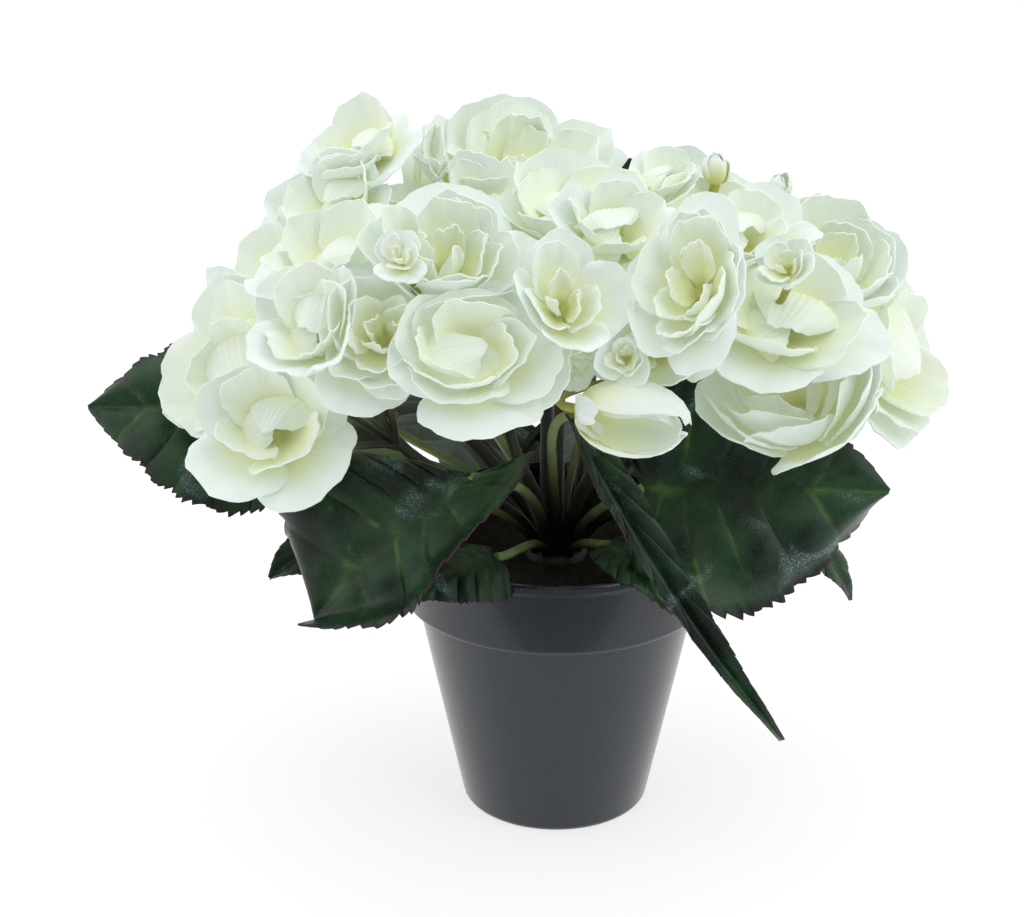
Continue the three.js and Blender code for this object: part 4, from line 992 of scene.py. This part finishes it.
def leaf_sheet(leaf, rows, columns, settings):
    """The leaf as rows that follow its side veins and columns from the left margin to the right.

    The margin is a half heart: its distance from the midrib is the half width times a power of a sine,
    narrowed towards the tip, less a fine and a coarse row of teeth, and its lobes reach back past the base by
    a sine. The midrib rises as a parabola; a side leaves it at the fold angle, droops with the square of its
    distance, turns by the twist along the leaf and curls under near its edge. The midrib is a narrow hollow,
    cushions rise between the side veins, and two slow waves bend the sides."""
    s = np.linspace(0.003, 0.997, rows)[:, None]
    w = np.linspace(-1, 1, columns)[None, :]
    w = np.sign(w) * np.abs(w) ** 0.9
    reach = np.abs(w)
    half = np.where(w < 0, leaf.left, leaf.right)
    lobe = np.where(w < 0, leaf.lobes[0], leaf.lobes[1])
    coarse = 1 - np.abs(2 * np.mod(s * SIDE_VEINS + 0.06 * np.sign(w) + 0.5, 1) - 1) ** 0.8
    saw = np.mod(-s * SIDE_VEINS * SAW_TEETH + 0.5 * np.sin(9 * s + leaf.seed) + 0.37 * (w > 0), 1)
    jitter = 0.75 + 0.25 * np.sin(31 * s + leaf.seed) + 0.2 * np.sin(53 * s + 2 * leaf.seed)
    teeth = settings.teeth * (0.6 * coarse + 0.8 * saw * jitter)
    narrowed = w * (1 - teeth * smooth(reach, 0.82, 1.0) * smooth(s, 0, 0.05) * (1 - smooth(s, 0.96, 1)))
    out = half * np.sin(np.pi * s**leaf.widest) ** 0.72 * (1 - 0.2 * s**4 - 0.3 * s**12)
    ahead = leaf.length * (s**1.2 - lobe * np.sin(np.pi * np.minimum(1, s / 0.5)))
    rib = leaf.length * (0.55 * s**1.5 + 0.45 * s**4)
    x = out * np.abs(narrowed)
    y = rib + (ahead - rib) * np.abs(narrowed)
    t = y / leaf.length
    rise = 4 * leaf.arch * t * (1 - t)
    slope = np.arctan2(4 * leaf.arch * (1 - 2 * t), leaf.length)[..., None]
    up = leaf.up * np.cos(slope) - leaf.forward * np.sin(slope)
    sideways = np.cross(leaf.forward, leaf.up)
    turn = (leaf.twist * t)[..., None]
    across = sideways * np.cos(turn) + up * np.sin(turn)
    normal = up * np.cos(turn) - sideways * np.sin(turn)
    curl = np.where(w < 0, leaf.curl[0], leaf.curl[1]) * half * smooth(reach, 0.45, 1.0) ** 2
    lift = x * math.sin(leaf.fold) - leaf.droop * x**2 / half - curl * smooth(s, 0.0, 0.3)
    near = np.abs(np.mod(s * SIDE_VEINS + 0.5, 1) - 0.5) / SIDE_VEINS * leaf.length * 0.9
    cushion = np.abs(np.sin(np.pi * s * SIDE_VEINS)) ** 0.6 * smooth(reach, 0.05, 0.35) * (1 - 0.5 * reach**3)
    lift = lift + settings.puff / MM * (cushion - 0.5) * smooth(x, 0, 8)
    lift = lift - 0.9 * np.exp(-((x / 1.8) ** 2))
    swell = np.sin(9 * s + leaf.seed + 2 * np.sign(w)) + 0.6 * np.sin(21 * s + 3 * reach + 2 * leaf.seed)
    lift = lift + 0.06 * half * reach**2 * swell
    sheet = leaf.base + y[..., None] * leaf.forward + rise[..., None] * leaf.up
    sheet = sheet + (np.sign(w) * x * math.cos(leaf.fold))[..., None] * across + lift[..., None] * normal
    side_vein = np.exp(-((near / (0.3 + 0.3 * (1 - reach))) ** 2))
    side_vein = side_vein * smooth(x, 0, 3) * (1 - smooth(reach, 0.6, 0.95))
    middle_vein = np.exp(-((x / 0.6) ** 2)) * (1 - 0.6 * t) * smooth(s, 0.02, 0.2)
    return sheet, np.maximum(side_vein, middle_vein)


def build_leaf(leaf, settings, material):
    """One leaf's sheet as a closed blade, with its veins and its underside named for the finish."""
    rows, columns = LONG_GRID if leaf.length > LONG_LEAF else SHORT_GRID
    sheet, vein = leaf_sheet(leaf, rows, columns, settings)
    points, quads, source = blade(sheet, settings.thickness / MM)
    under = np.repeat([0.0, 1.0], rows * columns)
    parts = Parts()
    uv = grid_uv(rows, columns)[source, ::-1]
    parts.add(points, uv, quads, vein=vein.ravel()[source], under=under)
    return parts.piece(f"{leaf.name}_blade", material, "leaf", [leaf.name])


# Settings


def number_setting(name, description, default, **more):
    return FloatProperty(name=name, description=description, default=default, **more)


def length_setting(name, description, default):
    return number_setting(name, description, default, unit="LENGTH", precision=5)


def colour_setting(name, description, default):
    return FloatVectorProperty(
        name=name, description=description, default=default, subtype="COLOR", min=0, max=1
    )


class BegoniaPotSettings(PropertyGroup):
    height: length_setting("Height", "Height of the pot", POT_HEIGHT)
    rim_radius: length_setting("Rim radius", "Radius of the pot's collar at its rim", POT_RIM)
    sides: IntProperty(name="Sides", description="Sides of the round form", default=128, min=24, max=256)
    colour: colour_setting("Colour", "Colour of the plastic", (0.007, 0.013, 0.02))
    roughness: number_setting("Roughness", "Roughness of the plastic", 0.24)


class BegoniaPetalSettings(PropertyGroup):
    thickness: length_setting("Thickness", "Thickness of a petal", 0.0005)
    ruffle: number_setting("Ruffle", "Height of the margin's waves, as a share of the bloom's radius", 0.03)
    margin: colour_setting("Margin", "Colour of a petal's outer part", (0.79, 0.86, 0.85))
    # heart: the petals' own colour near the root, and also the colour of the painted shade in the deeper
    # layers.
    heart: colour_setting("Heart", "Colour of the petals round the heart", (0.79, 0.83, 0.45))
    root: colour_setting("Root", "Colour where a petal starts", (0.48, 0.49, 0.025))
    # glow: the colour of the petals' painted glow, an emission that stands in for light passing through a
    # petal.
    glow: colour_setting("Glow", "Colour of the light that passes through a petal", (0.9, 0.96, 0.74))


class BegoniaLeafSettings(PropertyGroup):
    thickness: length_setting("Thickness", "Thickness of a leaf", 0.0006)
    teeth: number_setting("Teeth", "Depth of the teeth, as a share of the half width", 0.08)
    puff: length_setting("Puff", "Height of the cushions between the veins", 0.0022)
    dark: colour_setting("Dark green", "The leaf's darker green", (0.002, 0.01, 0.004))
    light: colour_setting("Light green", "The leaf's lighter green", (0.014, 0.056, 0.018))
    vein: colour_setting("Veins", "Colour of the veins", (0.12, 0.23, 0.045))
    # The colour of the pale painted glints, painted highlights in the leaves' gloss patches.
    painted_glints: colour_setting("Specks", "Colour of the specks in the gloss", (0.26, 0.42, 0.4))
    margin: colour_setting("Margin", "Colour of the toothed margin", (0.03, 0.012, 0.02))


class BegoniaStemSettings(PropertyGroup):
    branch: length_setting("Branch", "Radius of a branch", 0.0024)
    pedicel: length_setting("Pedicel", "Radius of a bloom's stalk", 0.0013)
    petiole: length_setting("Petiole", "Radius of a leaf's stalk", 0.0017)


class BegoniaStageSettings(PropertyGroup):
    elevation: number_setting(
        "Camera elevation", "How far the camera looks down", math.radians(22), subtype="ANGLE"
    )
    distance: length_setting("Camera distance", "From the camera to the point it looks at", 1.0)
    floor: colour_setting("Floor", "Colour of the floor", (0.4, 0.4, 0.4))
    glow: number_setting("Floor glow", "Light that comes up through the floor", 0.68)
    sky: number_setting("Sky", "Strength of the light from all sides", 1.0)
    key: number_setting("Key light", "Power of the large lamp, in watts", 4.0)


SETTINGS = {
    "begonia_pot": BegoniaPotSettings,
    "begonia_petals": BegoniaPetalSettings,
    "begonia_leaves": BegoniaLeafSettings,
    "begonia_stems": BegoniaStemSettings,
    "begonia_stage": BegoniaStageSettings,
}


# Operators


class BEGONIA_OT_pot(Operator):
    """Build the pot's turned shell"""

    bl_idname = "begonia.pot"
    bl_label = "Pot"

    def execute(self, context):
        build_pot(context.scene.begonia_pot)
        return {"FINISHED"}


class BEGONIA_OT_soil(Operator):
    """Build the soil with its clods"""

    bl_idname = "begonia.soil"
    bl_label = "Soil"

    def execute(self, context):
        build_soil()
        return {"FINISHED"}


class BEGONIA_OT_blooms(Operator):
    """Build every bloom and bud, petal by petal"""

    bl_idname = "begonia.blooms"
    bl_label = "Blooms"

    def execute(self, context):
        settings = context.scene.begonia_petals
        blooms = all_blooms()
        material = petal_finish(settings)
        for bloom in blooms:
            build_bloom(bloom, blooms, settings, material)
        return {"FINISHED"}


class BEGONIA_OT_leaves(Operator):
    """Build every leaf blade"""

    bl_idname = "begonia.leaves"
    bl_label = "Leaves"

    def execute(self, context):
        settings = context.scene.begonia_leaves
        material = leaf_finish(settings)
        for row in LEAVES:
            build_leaf(Leaf(row), settings, material)
        return {"FINISHED"}


class BEGONIA_OT_stems(Operator):
    """Build the branches, the pedicels and the petioles"""

    bl_idname = "begonia.stems"
    bl_label = "Stems"

    def execute(self, context):
        build_stems(context.scene.begonia_stems, all_blooms(), [Leaf(row) for row in LEAVES])
        return {"FINISHED"}


# Half the floor's side, the point that the lamps face and the one that the camera looks at, in metres.
FLOOR_REACH = 12.0
LIT_POINT = (0, 0, 0.18)
SEEN_POINT = (-0.0168, 0, 0.1385)
# The lens, as its focal length and the picture's width in pixels, and the sensor's width in mm.
FOCAL_PIXELS, PICTURE_PIXELS = 2680, 1024
SENSOR_WIDTH = 36
# The lamps' places, sides and shares of the key light's power.
LAMPS = {
    "key lamp": ((1.15, -0.85, 1.3), (0.9, 0.9), 1.0),
    "left lamp": ((-1.2, 0.1, 0.9), (0.4, 0.9), 0.3),
    "top lamp": ((0, 0.3, 1.6), (1.2, 1.2), 0.6),
}
# Screens that the camera doesn't see: whether one also keeps off the light, its colour and its corners. The
# dark screen stands behind the camera, and the pot's collar mirrors the grey card on the floor.
SCREENS = {
    "dark screen": (
        True,
        (0.03, 0.03, 0.032),
        [(-0.9, -1.5, 1.3), (0.9, -1.5, 1.3), (0.9, -1.5, 0.02), (-0.9, -1.5, 0.02)],
    ),
    "grey card": (
        False,
        (0.33, 0.34, 0.35),
        [(-0.4, -0.5, 0.0005), (0.4, -0.5, 0.0005), (0.4, -0.16, 0.0005), (-0.4, -0.16, 0.0005)],
    ),
}


def place_item(name, data):
    item = bpy.data.objects.new(name, data)
    bpy.context.scene.collection.objects.link(item)
    return item


def stage_panel(name, corners, material):
    """A flat four-cornered piece of the stage."""
    mesh = bpy.data.meshes.new(name)
    mesh.from_pydata(corners, [], [(0, 1, 2, 3)])
    mesh.materials.append(material)
    panel = place_item(name, mesh)
    return panel


def place_lamps(key):
    """The rectangular lamps, each turned to face the lit point."""
    for name, (place, size, share) in LAMPS.items():
        lamp = bpy.data.lights.new(name, "AREA")
        lamp.shape = "RECTANGLE"
        lamp.size, lamp.size_y = size
        lamp.energy = key * share
        holder = place_item(name, lamp)
        holder.location = place
        holder.rotation_euler = (Vector(LIT_POINT) - Vector(place)).to_track_quat("-Z", "Y").to_euler()


def place_camera(settings):
    """The camera, its distance from the seen point and turned to face it."""
    camera = bpy.data.cameras.new("camera")
    camera.sensor_width = SENSOR_WIDTH
    camera.lens = FOCAL_PIXELS / PICTURE_PIXELS * SENSOR_WIDTH
    holder = place_item("camera", camera)
    back = Vector((0, -math.cos(settings.elevation), math.sin(settings.elevation)))
    holder.location = Vector(SEEN_POINT) + back * settings.distance
    holder.rotation_mode = "QUATERNION"
    holder.rotation_quaternion = (-back).to_track_quat("-Z", "Y")
    return holder


class BEGONIA_OT_stage(Operator):
    """Lay the pale floor and set the screens, the lamps and the camera"""

    bl_idname = "begonia.stage"
    bl_label = "Stage"

    def execute(self, context):
        scene = context.scene
        settings = scene.begonia_stage
        floor = Finish("pale floor").set(
            Base_Color=(*settings.floor, 1),
            Roughness=0.9,
            Specular_IOR_Level=0.1,
            Emission_Color=(1, 1, 1, 1),
            Emission_Strength=settings.glow,
        )
        far = FLOOR_REACH
        stage_panel("floor", [(-far, -far, 0), (far, -far, 0), (far, far, 0), (-far, far, 0)], floor)
        for name, (shades, colour, corners) in SCREENS.items():
            screen = stage_panel(name, corners, Finish(name).set(Base_Color=(*colour, 1), Roughness=0.95))
            screen.visible_camera = False
            screen.visible_diffuse = screen.visible_shadow = shades
        scene.world = bpy.data.worlds.new("white room")
        scene.world.use_nodes = True
        background = scene.world.node_tree.nodes["Background"].inputs
        background["Color"].default_value = (1, 1, 1, 1)
        background["Strength"].default_value = settings.sky
        place_lamps(settings.key)
        scene.camera = place_camera(settings)
        scene.view_settings.view_transform = "Standard"
        return {"FINISHED"}


OPERATORS = [
    BEGONIA_OT_pot,
    BEGONIA_OT_soil,
    BEGONIA_OT_stems,
    BEGONIA_OT_leaves,
    BEGONIA_OT_blooms,
    BEGONIA_OT_stage,
]


class BEGONIA_PT_sidebar(Panel):
    """Lists the settings of each part of the plant and the operators that build it"""

    bl_label = "Begonia"
    bl_space_type = "VIEW_3D"
    bl_region_type = "UI"
    bl_category = "Begonia"

    def draw(self, context):
        for name, group in SETTINGS.items():
            box = self.layout.box()
            box.label(text=name.split("_")[1].title())
            for setting in group.__annotations__:
                box.prop(getattr(context.scene, name), setting)
        for operator in OPERATORS:
            self.layout.operator(operator.bl_idname)


CLASSES = [*SETTINGS.values(), *OPERATORS, BEGONIA_PT_sidebar]


def register():
    for item in CLASSES:
        bpy.utils.register_class(item)
    for name, group in SETTINGS.items():
        setattr(bpy.types.Scene, name, PointerProperty(type=group))


def unregister():
    for name in SETTINGS:
        delattr(bpy.types.Scene, name)
    for item in reversed(CLASSES):
        bpy.utils.unregister_class(item)


def main():
    register()
    bpy.ops.begonia.pot()
    bpy.ops.begonia.soil()
    bpy.ops.begonia.stems()
    bpy.ops.begonia.leaves()
    bpy.ops.begonia.blooms()
    bpy.ops.begonia.stage()


if __name__ == "__main__":
    main()
